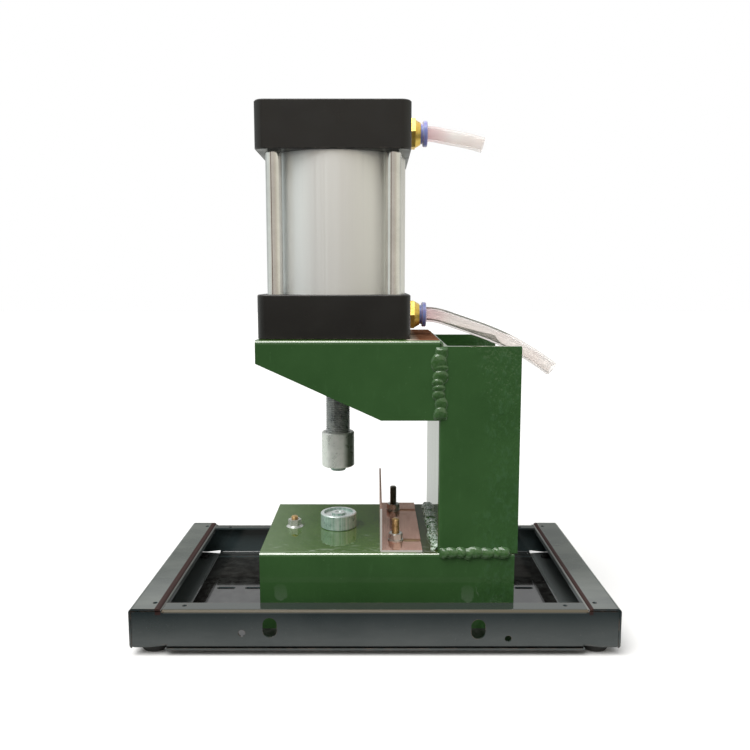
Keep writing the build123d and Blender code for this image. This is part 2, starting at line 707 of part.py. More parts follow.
def upper_die_holder():
    """The round holder screwed onto the rod, bored from below for the punch."""
    holder = upright(AXIS_X, 0, HOLDER_BOTTOM, HOLDER_TOP, HOLDER_DIAMETER)
    holder = chamfer(holder.edges().filter_by(GeomType.CIRCLE), 0.8)
    holder -= upright(AXIS_X, 0, ROD_END, HOLDER_TOP + 1, ROD_THREAD)
    holder -= upright(AXIS_X, 0, HOLDER_BOTTOM - 1, PUNCH_SHANK_TOP, PUNCH_SHANK)
    return holder - along_y(AXIS_X, 0, HOLDER_DIAMETER, set_screw_height(), SET_SCREW)


def set_screw_height():
    """Half way up the punch's shank."""
    return (HOLDER_BOTTOM + PUNCH_SHANK_TOP) / 2


def die_set_screw():
    """The grub screw at the back of the holder that grips the punch."""
    height = set_screw_height()
    screw = along_y(AXIS_X, PUNCH_SHANK / 2, SET_SCREW_OUTER_END, height, SET_SCREW)
    key = extrude(Plane.XZ * RegularPolygon(SET_SCREW_KEY / 2, 6, major_radius=False), 3.0)
    screw -= Pos(AXIS_X, SET_SCREW_OUTER_END + 0.1, height) * key
    return screw - upright(AXIS_X, 0, HOLDER_BOTTOM, PUNCH_SHANK_TOP, PUNCH_SHANK)


def upper_die():
    """The punch: a shank in the holder and a nose with a small forming cup."""
    nose = upright(AXIS_X, 0, PUNCH_TIP, HOLDER_BOTTOM, PUNCH_DIAMETER)
    nose = chamfer(nose.edges().group_by(Axis.Z)[0], 0.6)
    cup = Pos(AXIS_X, 0, PUNCH_TIP - 2.4) * Sphere(4.2)
    return nose + upright(AXIS_X, 0, HOLDER_BOTTOM, PUNCH_SHANK_TOP, PUNCH_SHANK) - cup


def lower_die():
    """The anvil die: a ring-shaped recess around a centre post, on a shank through the base."""
    body = upright(AXIS_X, 0, BASE_TOP, LOWER_DIE_TOP, LOWER_DIE_DIAMETER)
    body = chamfer(body.edges().filter_by(GeomType.CIRCLE), 0.7)
    recess_floor = LOWER_DIE_TOP - LOWER_DIE_RECESS_DEPTH
    body -= ring(AXIS_X, 0, recess_floor, LOWER_DIE_TOP + 1, LOWER_DIE_RECESS, LOWER_DIE_POST)
    body -= Pos(AXIS_X, 0, LOWER_DIE_TOP + 0.6 * LOWER_DIE_CUP_RADIUS) * Sphere(LOWER_DIE_CUP_RADIUS)
    return body + upright(AXIS_X, 0, LOWER_DIE_SHANK_END, BASE_TOP, LOWER_DIE_SHANK)


def lower_die_nut():
    """The nut under the base web that holds the lower die."""
    top = BASE_TOP - CHANNEL_WALL
    low = top - LOWER_DIE_NUT_HEIGHT
    return plain_nut(AXIS_X, 0, low, LOWER_DIE_NUT_FLATS, LOWER_DIE_NUT_HEIGHT, LOWER_DIE_SHANK)


# ---------- back gauge ----------
def back_gauge():
    """An angle plate whose foot has two slots open towards the column."""
    y_range = (-GAUGE_HALF_LENGTH, GAUGE_HALF_LENGTH)
    foot = block((GAUGE_LEFT, GAUGE_RIGHT), y_range, (BASE_TOP, BASE_TOP + GAUGE_SHEET))
    fence = block((GAUGE_LEFT, GAUGE_LEFT + GAUGE_SHEET), y_range, (BASE_TOP, GAUGE_TOP))
    gauge = foot + fence
    gauge = fillet(gauge.edges().filter_by(Axis.Y).group_by(Axis.Z)[0].sort_by(Axis.X)[0], SHEET)
    for y in (-GAUGE_BOLT_Y, GAUGE_BOLT_Y):
        slot_end = GAUGE_BOLT_X - GAUGE_BACK_TRAVEL
        gauge -= upright(slot_end, y, BASE_TOP - 1, BASE_TOP + 3, GAUGE_SLOT)
        slot_y = (y - GAUGE_SLOT / 2, y + GAUGE_SLOT / 2)
        gauge -= block((slot_end, GAUGE_RIGHT + 1), slot_y, (BASE_TOP - 1, BASE_TOP + 3))
    return gauge


def gauge_bolts():
    """Two bolts up through the base web, the far one longer."""
    under_web = BASE_TOP - CHANNEL_WALL
    bolts = []
    for side, length in GAUGE_BOLT_LENGTHS.items():
        y = side * GAUGE_BOLT_Y
        sizes = (under_web - M6_HEAD_HEIGHT, under_web, M6_HEX, M6, under_web + length)
        bolts.append(hex_bolt(GAUGE_BOLT_X, y, *sizes))
    return group(bolts)


def gauge_washers():
    """Washers on the gauge's foot."""
    low = BASE_TOP + GAUGE_SHEET
    sizes = (low, low + GAUGE_WASHER_HEIGHT, GAUGE_WASHER, M6 + 0.4)
    return group([ring(GAUGE_BOLT_X, y, *sizes) for y in (-GAUGE_BOLT_Y, GAUGE_BOLT_Y)])


def gauge_nuts():
    """Hexagon nuts that clamp the gauge, each left at its own turn."""
    low = BASE_TOP + GAUGE_SHEET + GAUGE_WASHER_HEIGHT
    nuts = []
    for side, turn in GAUGE_NUT_TURNS.items():
        nut = Rot(0, 0, turn) * plain_nut(0, 0, low, M6_HEX, M6_NUT_HEIGHT, M6)
        nuts.append(Pos(GAUGE_BOLT_X, side * GAUGE_BOLT_Y, 0) * nut)
    return group(nuts)


# ---------- push-in tube fittings ----------
def fitting_body(z):
    """A hexagon body with a threaded tail, a tapered nose and a stepped bore for the tube."""
    tail = along_x(HEAD_RIGHT - PORT_DEPTH + 1, HEAD_RIGHT, 0, z, PORT_THREAD)
    hexagon_face = RegularPolygon(FITTING_HEX / 2, 6, major_radius=False)
    hex_part = Pos(HEAD_RIGHT, 0, z) * extrude(Plane.YZ * hexagon_face, HEX_RIGHT - HEAD_RIGHT)
    nose_middle = (HEX_RIGHT + NOSE_RIGHT) / 2
    nose = Pos(nose_middle, 0, z) * Rot(0, 90, 0) * Cone(*NOSE_RADII, NOSE_RIGHT - HEX_RIGHT)
    body = tail + hex_part + nose
    body -= along_x(SOCKET_LEFT, NOSE_RIGHT + 1, 0, z, SOCKET)
    body -= along_x(TUBE_STOP, SOCKET_LEFT + 1, 0, z, TUBE)
    return body - along_x(0, TUBE_STOP + 1, 0, z, TUBE_BORE)


def release_ring(z):
    """The push-to-release collar around the tube."""
    collar = along_x(RING_LEFT, RING_RIGHT, 0, z, RING_DIAMETER)
    collar = chamfer(collar.edges().filter_by(GeomType.CIRCLE), 0.5)
    collar += along_x(RING_SLEEVE_LEFT, RING_LEFT, 0, z, RING_SLEEVE)
    return collar - along_x(RING_SLEEVE_LEFT - 1, RING_RIGHT + 1, 0, z, TUBE + 0.4)


def tube_grips():
    """The toothed collet ring inside each fitting."""
    return group([ring_along_x(*TUBE_GRIP_RANGE, z, SOCKET, TUBE) for z in (UPPER_PORT_Z, LOWER_PORT_Z)])


def tube_seals():
    """The O-ring inside each fitting."""
    end = TUBE_GRIP_RANGE[0]
    return group([ring_along_x(SOCKET_LEFT, end, z, SOCKET, TUBE) for z in (UPPER_PORT_Z, LOWER_PORT_Z)])


def hose(points, end_direction):
    """A tube that leaves its fitting straight and then bends along a smooth curve."""
    start = (TUBE_STOP, 0, points[0][2])
    path = Line(start, points[0]) + Spline(*points, tangents=[(1, 0, 0), end_direction])
    wall = Plane.YZ.offset(TUBE_STOP) * Pos(0, start[2]) * (Circle(TUBE / 2) - Circle(TUBE_BORE / 2))
    return sweep(wall, path)


def upper_hose():
    """The hose of the cap end, drooping slightly."""
    z = UPPER_PORT_Z
    bends = [(HOSE_BEND_START, 0, z), (53.3, 0, z - 1.5), (69.6, 0, z - 4.5), (86, 0, z - 8.6)]
    return hose(bends, (1, 0, -0.28))


def lower_hose():
    """The hose of the rod end, hanging over the top of the column."""
    z = LOWER_PORT_Z
    bends = [(HOSE_BEND_START, 0, z), (61.5, 0, z - 4.1), (94.3, 0, z - 15.6), (145.4, 0, z - 44.6)]
    return hose(bends, (1, 0, -0.72))


PARTS = {
    "bottom_plate": bottom_plate,
    "front_rail": front_rail,
    "back_rail": back_rail,
    "left_side_rail": left_side_rail,
    "right_side_rail": right_side_rail,
    "rubber_feet": rubber_feet,
    "foot_screws": foot_screws,
    "foot_nuts": foot_nuts,
    "base_channel": base_channel,
    "column_channel": column_channel,
    "arm_channel": arm_channel,
    "arm_weld_beads": arm_weld_beads,
    "column_weld_beads": column_weld_beads,
    "frame_clamp_bolts": frame_clamp_bolts,
    "clamp_flange_nuts": clamp_flange_nuts,
    "lower_head": lower_head,
    "upper_head": upper_head,
    "barrel_tube": barrel_tube,
    "barrel_seals": barrel_seals,
    "tie_rods": tie_rods,
    "tie_rod_nuts": tie_rod_nuts,
    "mounting_sleeve_nuts": mounting_sleeve_nuts,
    "cylinder_mounting_screws": cylinder_mounting_screws,
    "mounting_washers": mounting_washers,
    "rod_bushing": rod_bushing,
    "rod_seal": rod_seal,
    "rod_wiper": rod_wiper,
    "piston": piston,
    "piston_seals": piston_seals,
    "piston_guide_ring": piston_guide_ring,
    "piston_nut": piston_nut,
    "piston_rod": piston_rod,
    "upper_die_holder": upper_die_holder,
    "die_set_screw": die_set_screw,
    "upper_die": upper_die,
    "lower_die": lower_die,
    "lower_die_nut": lower_die_nut,
    "back_gauge": back_gauge,
    "gauge_bolts": gauge_bolts,
    "gauge_washers": gauge_washers,
    "gauge_nuts": gauge_nuts,
    "upper_fitting_body": lambda: fitting_body(UPPER_PORT_Z),
    "lower_fitting_body": lambda: fitting_body(LOWER_PORT_Z),
    "upper_release_ring": lambda: release_ring(UPPER_PORT_Z),
    "lower_release_ring": lambda: release_ring(LOWER_PORT_Z),
    "tube_grips": tube_grips,
    "tube_seals": tube_seals,
    "upper_hose": upper_hose,
    "lower_hose": lower_hose,
}

os.makedirs("parts", exist_ok=True)
for node, make in PARTS.items():
    export_step(make(), f"parts/{node}.step")
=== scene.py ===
import json
import math
import random

import bpy
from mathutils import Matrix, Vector


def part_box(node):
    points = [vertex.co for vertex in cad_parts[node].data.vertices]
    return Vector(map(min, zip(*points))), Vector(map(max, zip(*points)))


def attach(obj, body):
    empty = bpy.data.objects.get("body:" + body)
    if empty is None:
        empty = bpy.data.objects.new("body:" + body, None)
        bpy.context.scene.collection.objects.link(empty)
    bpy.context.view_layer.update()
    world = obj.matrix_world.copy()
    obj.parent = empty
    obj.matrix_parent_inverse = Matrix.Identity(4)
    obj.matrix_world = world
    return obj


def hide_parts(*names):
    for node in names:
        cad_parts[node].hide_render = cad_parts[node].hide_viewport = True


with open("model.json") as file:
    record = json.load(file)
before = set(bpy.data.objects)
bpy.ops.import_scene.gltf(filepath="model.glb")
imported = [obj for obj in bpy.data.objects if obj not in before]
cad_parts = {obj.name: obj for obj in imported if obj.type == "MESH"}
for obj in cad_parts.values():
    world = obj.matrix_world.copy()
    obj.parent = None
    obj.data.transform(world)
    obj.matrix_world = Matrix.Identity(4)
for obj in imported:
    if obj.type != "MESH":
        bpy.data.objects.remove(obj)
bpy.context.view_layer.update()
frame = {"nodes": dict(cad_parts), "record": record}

# A pneumatic rivet press. The CAD frame gives every shape and place; this script adds the weld beads and
# screw threads as meshes, softens the edges, and gives every piece its finish. Lengths are in metres.

MM = 0.001
nodes = frame["nodes"]
BODY_OF = {node: body for body, members in frame["record"]["behaviour"]["bodies"].items() for node in members}


# ---------------------------------------------------------------- node materials
class Look:
    """A procedural material: a Principled shader and short ways to build textures for it."""

    def __init__(self, name, **values):
        self.material = bpy.data.materials.new(name)
        self.material.use_nodes = True
        self.tree = self.material.node_tree
        self.shader = self.tree.nodes["Principled BSDF"]
        self.place = self.tree.nodes.new("ShaderNodeTexCoord").outputs["Object"]
        for socket, value in values.items():
            self.set(socket.replace("_", " "), value)

    def set(self, socket, value):
        """Sets an input of the shader, or links a texture to it."""
        target = self.shader.inputs[socket]
        if isinstance(value, bpy.types.NodeSocket):
            self.tree.links.new(value, target)
        elif isinstance(value, tuple):
            target.default_value = (*value, 1.0)
        else:
            target.default_value = value

    def node(self, kind, settings=None, **inputs):
        """A node with settings as attributes and inputs by socket name or number."""
        made = self.tree.nodes.new("ShaderNode" + kind)
        for key, value in (settings or {}).items():
            setattr(made, key, value)
        for key, value in inputs.items():
            socket = made.inputs[int(key[1:])] if key[0] == "i" and key[1:].isdigit() else made.inputs[key]
            if isinstance(value, bpy.types.NodeSocket):
                self.tree.links.new(value, socket)
            else:
                socket.default_value = value
        return made

    def stretched(self, x, y, z):
        """The object's own coordinates, scaled along each axis."""
        return self.node("Mapping", Vector=self.place, Scale=(x, y, z)).outputs["Vector"]

    def noise(self, size, detail=3.0, rough=0.55, at=None):
        """Noise whose features are about size metres across."""
        made = self.node("TexNoise", Vector=at or self.place, Scale=1.0 / size, Detail=detail, Roughness=rough)
        return made.outputs["Fac"]

    def ramp(self, value, low, high, to_low=0.0, to_high=1.0):
        """Maps low..high to to_low..to_high, clamped."""
        made = self.node("MapRange", i0=value, i1=low, i2=high, i3=to_low, i4=to_high)
        return made.outputs["Result"]

    def mix(self, factor, first, second):
        """Mixes two colours, each a tuple or a socket."""
        made = self.node("Mix", {"data_type": "RGBA"}, i0=factor)
        for socket, value in ((made.inputs[6], first), (made.inputs[7], second)):
            if isinstance(value, tuple):
                socket.default_value = (*value, 1.0)
            else:
                self.tree.links.new(value, socket)
        return made.outputs[2]

    def math(self, operation, first, second=0.0):
        """Arithmetic on one or two values."""
        return self.node("Math", {"operation": operation}, i0=first, i1=second).outputs["Value"]

    def both(self, *masks):
        """The product of several masks."""
        product = masks[0]
        for mask in masks[1:]:
            product = self.math("MULTIPLY", product, mask)
        return product

    def within(self, value, low, high, soft):
        """1 between low and high, fading to 0 over soft metres outside them."""
        return self.both(self.ramp(value, low - soft, low), self.ramp(value, high + soft, high))

    def bump(self, height, depth, before=None):
        """A normal from a height texture, depth metres deep, on top of an earlier one."""
        made = self.node("Bump", Height=height, Strength=1.0, Distance=depth)
        if before is not None:
            self.tree.links.new(before, made.inputs["Normal"])
        return made.outputs["Normal"]

    def edges(self, width):
        """1 along sharp edges and 0 on flat or gently curved ground."""
        rounded = self.node("Bevel", {"samples": 6}, Radius=width).outputs["Normal"]
        true_normal = self.node("NewGeometry").outputs["Normal"]
        agreement = self.node("VectorMath", {"operation": "DOT_PRODUCT"}, i0=rounded, i1=true_normal)
        return self.ramp(agreement.outputs["Value"], 0.995, 0.86)

    def rims(self):
        """1 on the rounded edges of a boxy shape, where the surface faces none of the three axes, else 0."""
        normal = self.node("NewGeometry").outputs["True Normal"]
        parts = self.node("SeparateXYZ", i0=self.node("VectorMath", {"operation": "ABSOLUTE"}, i0=normal).outputs[0])
        largest = self.math("MAXIMUM", self.math("MAXIMUM", parts.outputs[0], parts.outputs[1]), parts.outputs[2])
        return self.ramp(largest, 0.80, 0.74)

    def facing_camera(self):
        """0 where the surface is seen square on, towards 1 at a low angle."""
        return self.node("LayerWeight", Blend=0.5).outputs["Facing"]

    def axis(self, name):
        """One coordinate of the place, in metres."""
        return self.node("SeparateXYZ", Vector=self.place).outputs[name]

    def facing(self, name):
        """One component of the surface's true normal."""
        normal = self.node("NewGeometry").outputs["True Normal"]
        return self.node("SeparateXYZ", Vector=normal).outputs[name]


def green_enamel(name, bare_from=None):
    """Thick gloss enamel with brush waves, tops painted lighter as painted light, a painted highlight along the upper
    rims broken by pale chipped paint that is partly worn, painted reflections, and bare rusty steel on top beyond
    bare_from, if given.
    """
    look = Look(name, Roughness=0.45, Specular_IOR_Level=0.0, Coat_Weight=1.0, Coat_Roughness=0.03)
    up = look.facing("Z")
    shade = look.ramp(look.noise(45 * MM, 4.0), 0.3, 0.7)
    paint = look.mix(shade, (0.033, 0.089, 0.026), (0.043, 0.111, 0.034))
    # Tops are painted lighter and yellower than the sides as painted light from above; their coat also reflects more
    # strongly.
    on_top = look.ramp(up, 0.5, 0.9)
    paint = look.mix(on_top, paint, look.mix(shade, (0.054, 0.124, 0.020), (0.074, 0.148, 0.028)))
    look.set("Coat IOR", look.ramp(on_top, 0.0, 1.0, 1.5, 3.2))
    runs = look.noise(5 * MM, 3.0, 0.6, look.stretched(1.0, 1.0, 0.25))
    paint = look.mix(look.ramp(runs, 0.60, 0.78, 0.0, 0.3), paint, (0.070, 0.165, 0.060))
    specks = look.ramp(look.noise(1.3 * MM, 2.0), 0.72, 0.77, 0.0, 0.5)
    paint = look.mix(specks, paint, (0.14, 0.26, 0.12))
    # A dark olive strip on the base top beside the column's foot is a painted reflection of the column's foot.
    column_reflection = look.both(on_top, look.within(look.axis("X"), 34 * MM, 46 * MM, 3 * MM), look.ramp(look.axis("Z"), 0.07, 0.069))
    paint = look.mix(look.math("MULTIPLY", column_reflection, 0.75), paint, (0.040, 0.034, 0.012))
    # Up-facing rounded edges get a painted highlight, stronger towards the gauge, broken by pale flecks that are
    # partly chipped paint and partly painted highlight.
    upper_rim = look.both(look.rims(), look.ramp(up, 0.3, 0.5))
    near_gauge = look.ramp(look.axis("X"), -70 * MM, 10 * MM, 0.35, 0.9)
    paint = look.mix(look.math("MULTIPLY", upper_rim, near_gauge), paint, (0.34, 0.46, 0.20))
    chips_and_glints = look.ramp(look.noise(2.2 * MM, 3.0, at=look.stretched(0.4, 1.0, 1.0)), 0.55, 0.62)
    paint = look.mix(look.both(upper_rim, chips_and_glints, near_gauge), paint, (0.86, 0.84, 0.62))
    peel = look.bump(look.noise(2.4 * MM, 1.0), 0.020 * MM)
    ripple_place = look.math("ADD", look.axis("X"), look.ramp(look.noise(30 * MM), 0.2, 0.8, -14 * MM, 14 * MM))
    rippled = look.ramp(ripple_place, 78 * MM, 88 * MM)
    ripples = look.noise(3.2 * MM, 2.0, 0.6, look.stretched(1.0, 1.0, 0.6))
    # The lighter bluish colour on these ripples towards +X is a painted reflection; the bump below gives the ripples
    # their shape.
    paint = look.mix(look.both(rippled, look.ramp(ripples, 0.50, 0.66, 0.0, 0.22)), paint, (0.075, 0.165, 0.085))
    peel = look.bump(look.math("MULTIPLY", ripples, rippled), 0.5 * MM, peel)
    wave = look.bump(look.noise(16 * MM, 2.0, at=look.stretched(1.0, 1.0, 0.5)), 0.22 * MM, peel)
    look.set("Normal", wave)
    look.set("Coat Normal", wave)
    if bare_from is None:
        look.set("Base Color", paint)
        return look.material
    ragged = look.math("ADD", look.axis("X"), look.ramp(look.noise(9 * MM), 0.2, 0.8, -6 * MM, 6 * MM))
    beyond = look.ramp(ragged, bare_from - 4 * MM, bare_from - 2 * MM)
    bare = look.math("MULTIPLY", beyond, look.ramp(up, 0.93, 0.99))
    streaks = look.ramp(look.noise(6 * MM, 5.0, 0.7, look.stretched(0.3, 1.0, 1.0)), 0.40, 0.72)
    rust = look.mix(streaks, (0.120, 0.040, 0.020), (0.31, 0.17, 0.10))
    scraped = look.ramp(look.axis("X"), bare_from + 7 * MM, bare_from - 1 * MM, 0.0, 0.75)
    rust = look.mix(scraped, rust, (0.52, 0.50, 0.42))
    look.set("Base Color", look.mix(bare, paint, rust))
    look.set("Coat Weight", look.ramp(bare, 0.0, 1.0, 1.0, 0.0))
    look.set("Roughness", look.ramp(bare, 0.0, 1.0, 0.45, 0.75))
    return look.material


def weld_enamel(name, pale):
    """The same enamel run over a weld: lumpy and wet-looking, with white spots that are painted highlights; pale is
    how much of it gets them.
    """
    look = Look(name, Roughness=0.4, Specular_IOR_Level=0.0, Coat_Weight=1.0, Coat_Roughness=0.05, Coat_IOR=1.6)
    shade = look.ramp(look.noise(7 * MM, 3.0), 0.3, 0.7)
    paint = look.mix(shade, (0.031, 0.088, 0.022), (0.052, 0.128, 0.036))
    # The white spots painted on the weld stand in for highlights.
    spots = look.ramp(look.noise(2.2 * MM, 3.0, 0.7), 0.46, 0.53, 0.0, pale)
    paint = look.mix(spots, paint, (0.60, 0.72, 0.64))
    look.set("Base Color", paint)
    lumps = look.bump(look.noise(1.6 * MM, 3.0, 0.6), 0.12 * MM)
    look.set("Normal", lumps)
    look.set("Coat Normal", lumps)
    return look.material


def tray_paint():
    """Black baked paint: smooth, glossy at a low angle, dusty, rusty brown where its edges are worn, with a painted
    dark brown reflection along the inner rims of its top flanges and painted sheen, reflections and highlights
    elsewhere on its flanges and walls.
    """
    look = Look("tray_paint", Roughness=0.45, Specular_IOR_Level=0.0, Coat_Weight=1.0, Coat_IOR=1.75)
    up = look.facing("Z")
    height = look.axis("Z")
    shade = look.ramp(look.noise(60 * MM, 3.0), 0.3, 0.7)
    paint = look.mix(shade, (0.018, 0.027, 0.029), (0.032, 0.042, 0.044))
    on_plate = look.both(look.ramp(height, 9 * MM, 7 * MM), look.ramp(up, 0.5, 0.9))
    blotches = look.ramp(look.noise(9 * MM, 4.0, 0.65), 0.40, 0.62)
    paint = look.mix(on_plate, paint, look.mix(blotches, (0.0115, 0.0110, 0.0105), (0.030, 0.031, 0.029)))
    # The walls are painted lighter towards the bottom as a painted reflection of the floor, mottled by a cloud.
    low_reflection = look.both(look.ramp(height, 30 * MM, 8 * MM, 0.0, 0.6), look.ramp(on_plate, 1.0, 0.0))
    cloud = look.ramp(look.noise(25 * MM, 4.0, at=look.stretched(0.4, 1.0, 1.5)), 0.35, 0.65)
    paint = look.mix(look.math("MULTIPLY", low_reflection, cloud), paint, (0.066, 0.075, 0.076))
    dust = look.ramp(look.noise(1.6 * MM, 4.0), 0.66, 0.78, 0.0, 0.35)
    paint = look.mix(dust, paint, (0.12, 0.12, 0.115))
    # The tops of the flanges are painted lighter as a painted sheen, strongest on the end rails.
    top_sheen = look.both(look.ramp(up, 0.9, 0.99), look.ramp(height, 33 * MM, 34 * MM), look.ramp(cloud, 0, 1, 0.5, 1.0))
    deep = look.math("ABSOLUTE", look.axis("Y"))
    across = look.math("ABSOLUTE", look.axis("X"))
    on_end = look.both(look.ramp(deep, 82 * MM, 84 * MM), look.ramp(across, 155 * MM, 154 * MM))
    paint = look.mix(top_sheen, paint, look.mix(on_end, (0.116, 0.129, 0.115), (0.036, 0.043, 0.036)))
    # The inner walls are painted pale grey-blue as a painted reflection, palest on the side rails.
    inside = look.both(look.ramp(look.math("ABSOLUTE", up), 0.5, 0.3), look.ramp(across, 178.2 * MM, 177.8 * MM),
                       look.ramp(deep, 97.4 * MM, 97.0 * MM))
    sideways = look.ramp(look.math("ABSOLUTE", look.facing("X")), 0.4, 0.8)
    paint = look.mix(inside, paint, look.mix(sideways, (0.060, 0.086, 0.092), (0.170, 0.195, 0.200)))
    # The side rails' foot flanges are painted pale grey as painted light where they lie in shade under the top
    # flanges.
    on_foot = look.both(on_plate, look.ramp(across, 152.0 * MM, 152.6 * MM))
    paint = look.mix(on_foot, paint, (0.170, 0.190, 0.190))
    # Along the inner edge of each side flange: a dark brown-red band as a painted reflection, and a thin bright line
    # as a painted highlight. At the front bend of the front rail: a beige line as a painted highlight.
    side_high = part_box("right_side_rail")[1]
    inner = side_high[0] - 24 * MM
    bend_start = inner + 3 * MM
    on_side = look.ramp(height, 31 * MM, 32 * MM)
    band_end = look.ramp(look.axis("X"), -100 * MM, 100 * MM, bend_start + 1.8 * MM, bend_start + 0.4 * MM)
    past_line = look.ramp(across, inner + 0.6 * MM, inner + 0.9 * MM)
    brown_band = look.both(on_side, past_line, look.ramp(look.math("SUBTRACT", across, band_end), 0.2 * MM, 0.0))
    bright_line = look.both(on_side, look.within(across, inner - 0.1 * MM, inner + 0.6 * MM, 0.2 * MM),
                            look.ramp(up, 0.05, 0.3))
    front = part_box("front_rail")[0][1]
    fold = look.both(look.ramp(look.axis("Y"), front + 2.2 * MM, front + 1.8 * MM),
                     look.ramp(height, 33.0 * MM, 33.6 * MM), look.ramp(across, inner + 0.5 * MM, inner))
    paint = look.mix(look.math("MULTIPLY", brown_band, 0.95), paint, (0.045, 0.024, 0.022))
    paint = look.mix(bright_line, paint, (0.30, 0.31, 0.30))
    paint = look.mix(fold, paint, (0.115, 0.100, 0.072))
    worn = look.math("MULTIPLY", look.edges(0.5 * MM), look.ramp(look.noise(7 * MM), 0.42, 0.62))
    look.set("Base Color", look.mix(look.math("MULTIPLY", worn, 0.7), paint, (0.26, 0.16, 0.12)))
    # These painted marks get little coat.
    matte = look.math("MAXIMUM", brown_band, look.math("MAXIMUM", bright_line, fold))
    look.set("Coat Weight", look.ramp(matte, 0.0, 1.0, 1.0, 0.12))
    look.set("Coat Roughness", look.ramp(look.noise(30 * MM), 0.3, 0.7, 0.03, 0.09))
    fine = look.bump(look.noise(1.1 * MM, 2.0), 0.012 * MM)
    look.set("Normal", look.bump(look.noise(35 * MM, 1.0), 0.20 * MM, fine))
    return look.material


def black_head():
    """Satin black anodised aluminium with a fine blasted grain and paler worn edges."""
    look = Look("black_head", Roughness=0.34, Specular_IOR_Level=0.5)
    shade = look.ramp(look.noise(50 * MM, 3.0), 0.3, 0.7)
    body = look.mix(shade, (0.0075, 0.0070, 0.0062), (0.0125, 0.0118, 0.0100))
    scuffs = look.ramp(look.noise(3 * MM, 4.0, 0.6, look.stretched(0.3, 0.3, 1.0)), 0.66, 0.80, 0.0, 0.35)
    body = look.mix(scuffs, body, (0.045, 0.042, 0.038))
    worn = look.math("MULTIPLY", look.edges(0.6 * MM), look.ramp(look.noise(6 * MM), 0.40, 0.62))
    look.set("Base Color", look.mix(look.math("MULTIPLY", worn, 0.6), body, (0.30, 0.25, 0.21)))
    look.set("Roughness", look.ramp(look.noise(18 * MM, 4.0), 0.3, 0.7, 0.26, 0.42))
    look.set("Normal", look.bump(look.noise(0.5 * MM, 2.0), 0.010 * MM))
    return look.material


def barrel_alloy():
    """Clear anodised drawn tube: satin, with faint lines along its length."""
    look = Look("barrel_alloy", Metallic=0.72)
    lines = look.noise(1.5 * MM, 2.0, at=look.stretched(1.0, 1.0, 0.004))
    cloud = look.ramp(look.noise(70 * MM, 2.0), 0.3, 0.7)
    low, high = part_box("barrel_tube")
    # The tube is painted bluish on its left and warm on its right as a painted tint of the light on either side.
    sideways = look.ramp(look.axis("X"), low[0], high[0])
    colour = look.mix(sideways, (0.95, 0.99, 1.00), (1.00, 0.985, 0.92))
    colour = look.mix(look.math("MULTIPLY", cloud, 0.2), colour, (0.90, 0.90, 0.88))
    look.set("Base Color", look.mix(look.ramp(lines, 0.55, 0.8, 0.0, 0.25), colour, (0.84, 0.85, 0.85)))
    look.set("Roughness", look.ramp(lines, 0.3, 0.7, 0.36, 0.48))
    look.set("Normal", look.bump(lines, 0.008 * MM))
    return look.material


def turned_metal(name, dark, light, roughness=0.22, ring=0.35, depth=0.010, metallic=1.0, streaks=0.0):
    """Lathe-turned or drawn metal: fine rings around Z, upright streaks, cloudy plating and tiny pits."""
    look = Look(name, Metallic=metallic)
    rings = look.noise(ring * MM, 2.0, at=look.stretched(0.03, 0.03, 1.0))
    cloud = look.ramp(look.noise(6 * MM, 4.0), 0.32, 0.68)
    pits = look.ramp(look.noise(1.2 * MM, 3.0), 0.62, 0.74)
    colour = look.mix(cloud, dark, light)
    upright = look.ramp(look.noise(1.7 * MM, 2.0, at=look.stretched(1.0, 1.0, 0.02)), 0.35, 0.65, 0.0, streaks)
    colour = look.mix(upright, colour, tuple(min(1.0, channel * 1.6) for channel in light))
    shaded = tuple(channel * 0.45 for channel in dark)
    look.set("Base Color", look.mix(look.math("MULTIPLY", pits, 0.5), colour, shaded))
    look.set("Roughness", look.ramp(cloud, 0.0, 1.0, roughness * 0.8, roughness * 1.35))
    grain = look.bump(rings, depth * MM)
    look.set("Normal", look.bump(look.noise(1.4 * MM, 3.0), 0.02 * MM, grain))
    return look.material


def die_steel(name, dark, light, crown, shaded_side=0.0):
    """Zinc-plated tool steel: teal sheen with upright streaks, a pale top that is a painted highlight, and a painted
    dark reflection towards +X.
    """
    look = Look(name, Metallic=0.45)
    cloud = look.ramp(look.noise(5 * MM, 4.0), 0.32, 0.68)
    colour = look.mix(cloud, dark, light)
    upright = look.ramp(look.noise(1.6 * MM, 2.0, at=look.stretched(1.0, 1.0, 0.02)), 0.46, 0.66, 0.0, 0.45)
    colour = look.mix(upright, colour, crown)
    pits = look.ramp(look.noise(1.1 * MM, 3.0), 0.60, 0.72, 0.0, 0.4)
    colour = look.mix(pits, colour, tuple(channel * 0.4 for channel in dark))
    # Up-facing faces are painted pale as a painted highlight.
    colour = look.mix(look.ramp(look.facing("Z"), 0.5, 0.9, 0.0, 0.9), colour, crown)
    # The side towards +X is painted dark green as a painted reflection of the green column beside it.
    far_side = look.ramp(look.facing("X"), 0.36, 0.66, 0.0, shaded_side)
    colour = look.mix(far_side, colour, (0.060, 0.085, 0.055))
    look.set("Base Color", colour)
    look.set("Roughness", look.ramp(cloud, 0.0, 1.0, 0.24, 0.40))
    look.set("Normal", look.bump(look.noise(0.35 * MM, 2.0, at=look.stretched(0.03, 0.03, 1.0)), 0.010 * MM))
    return look.material


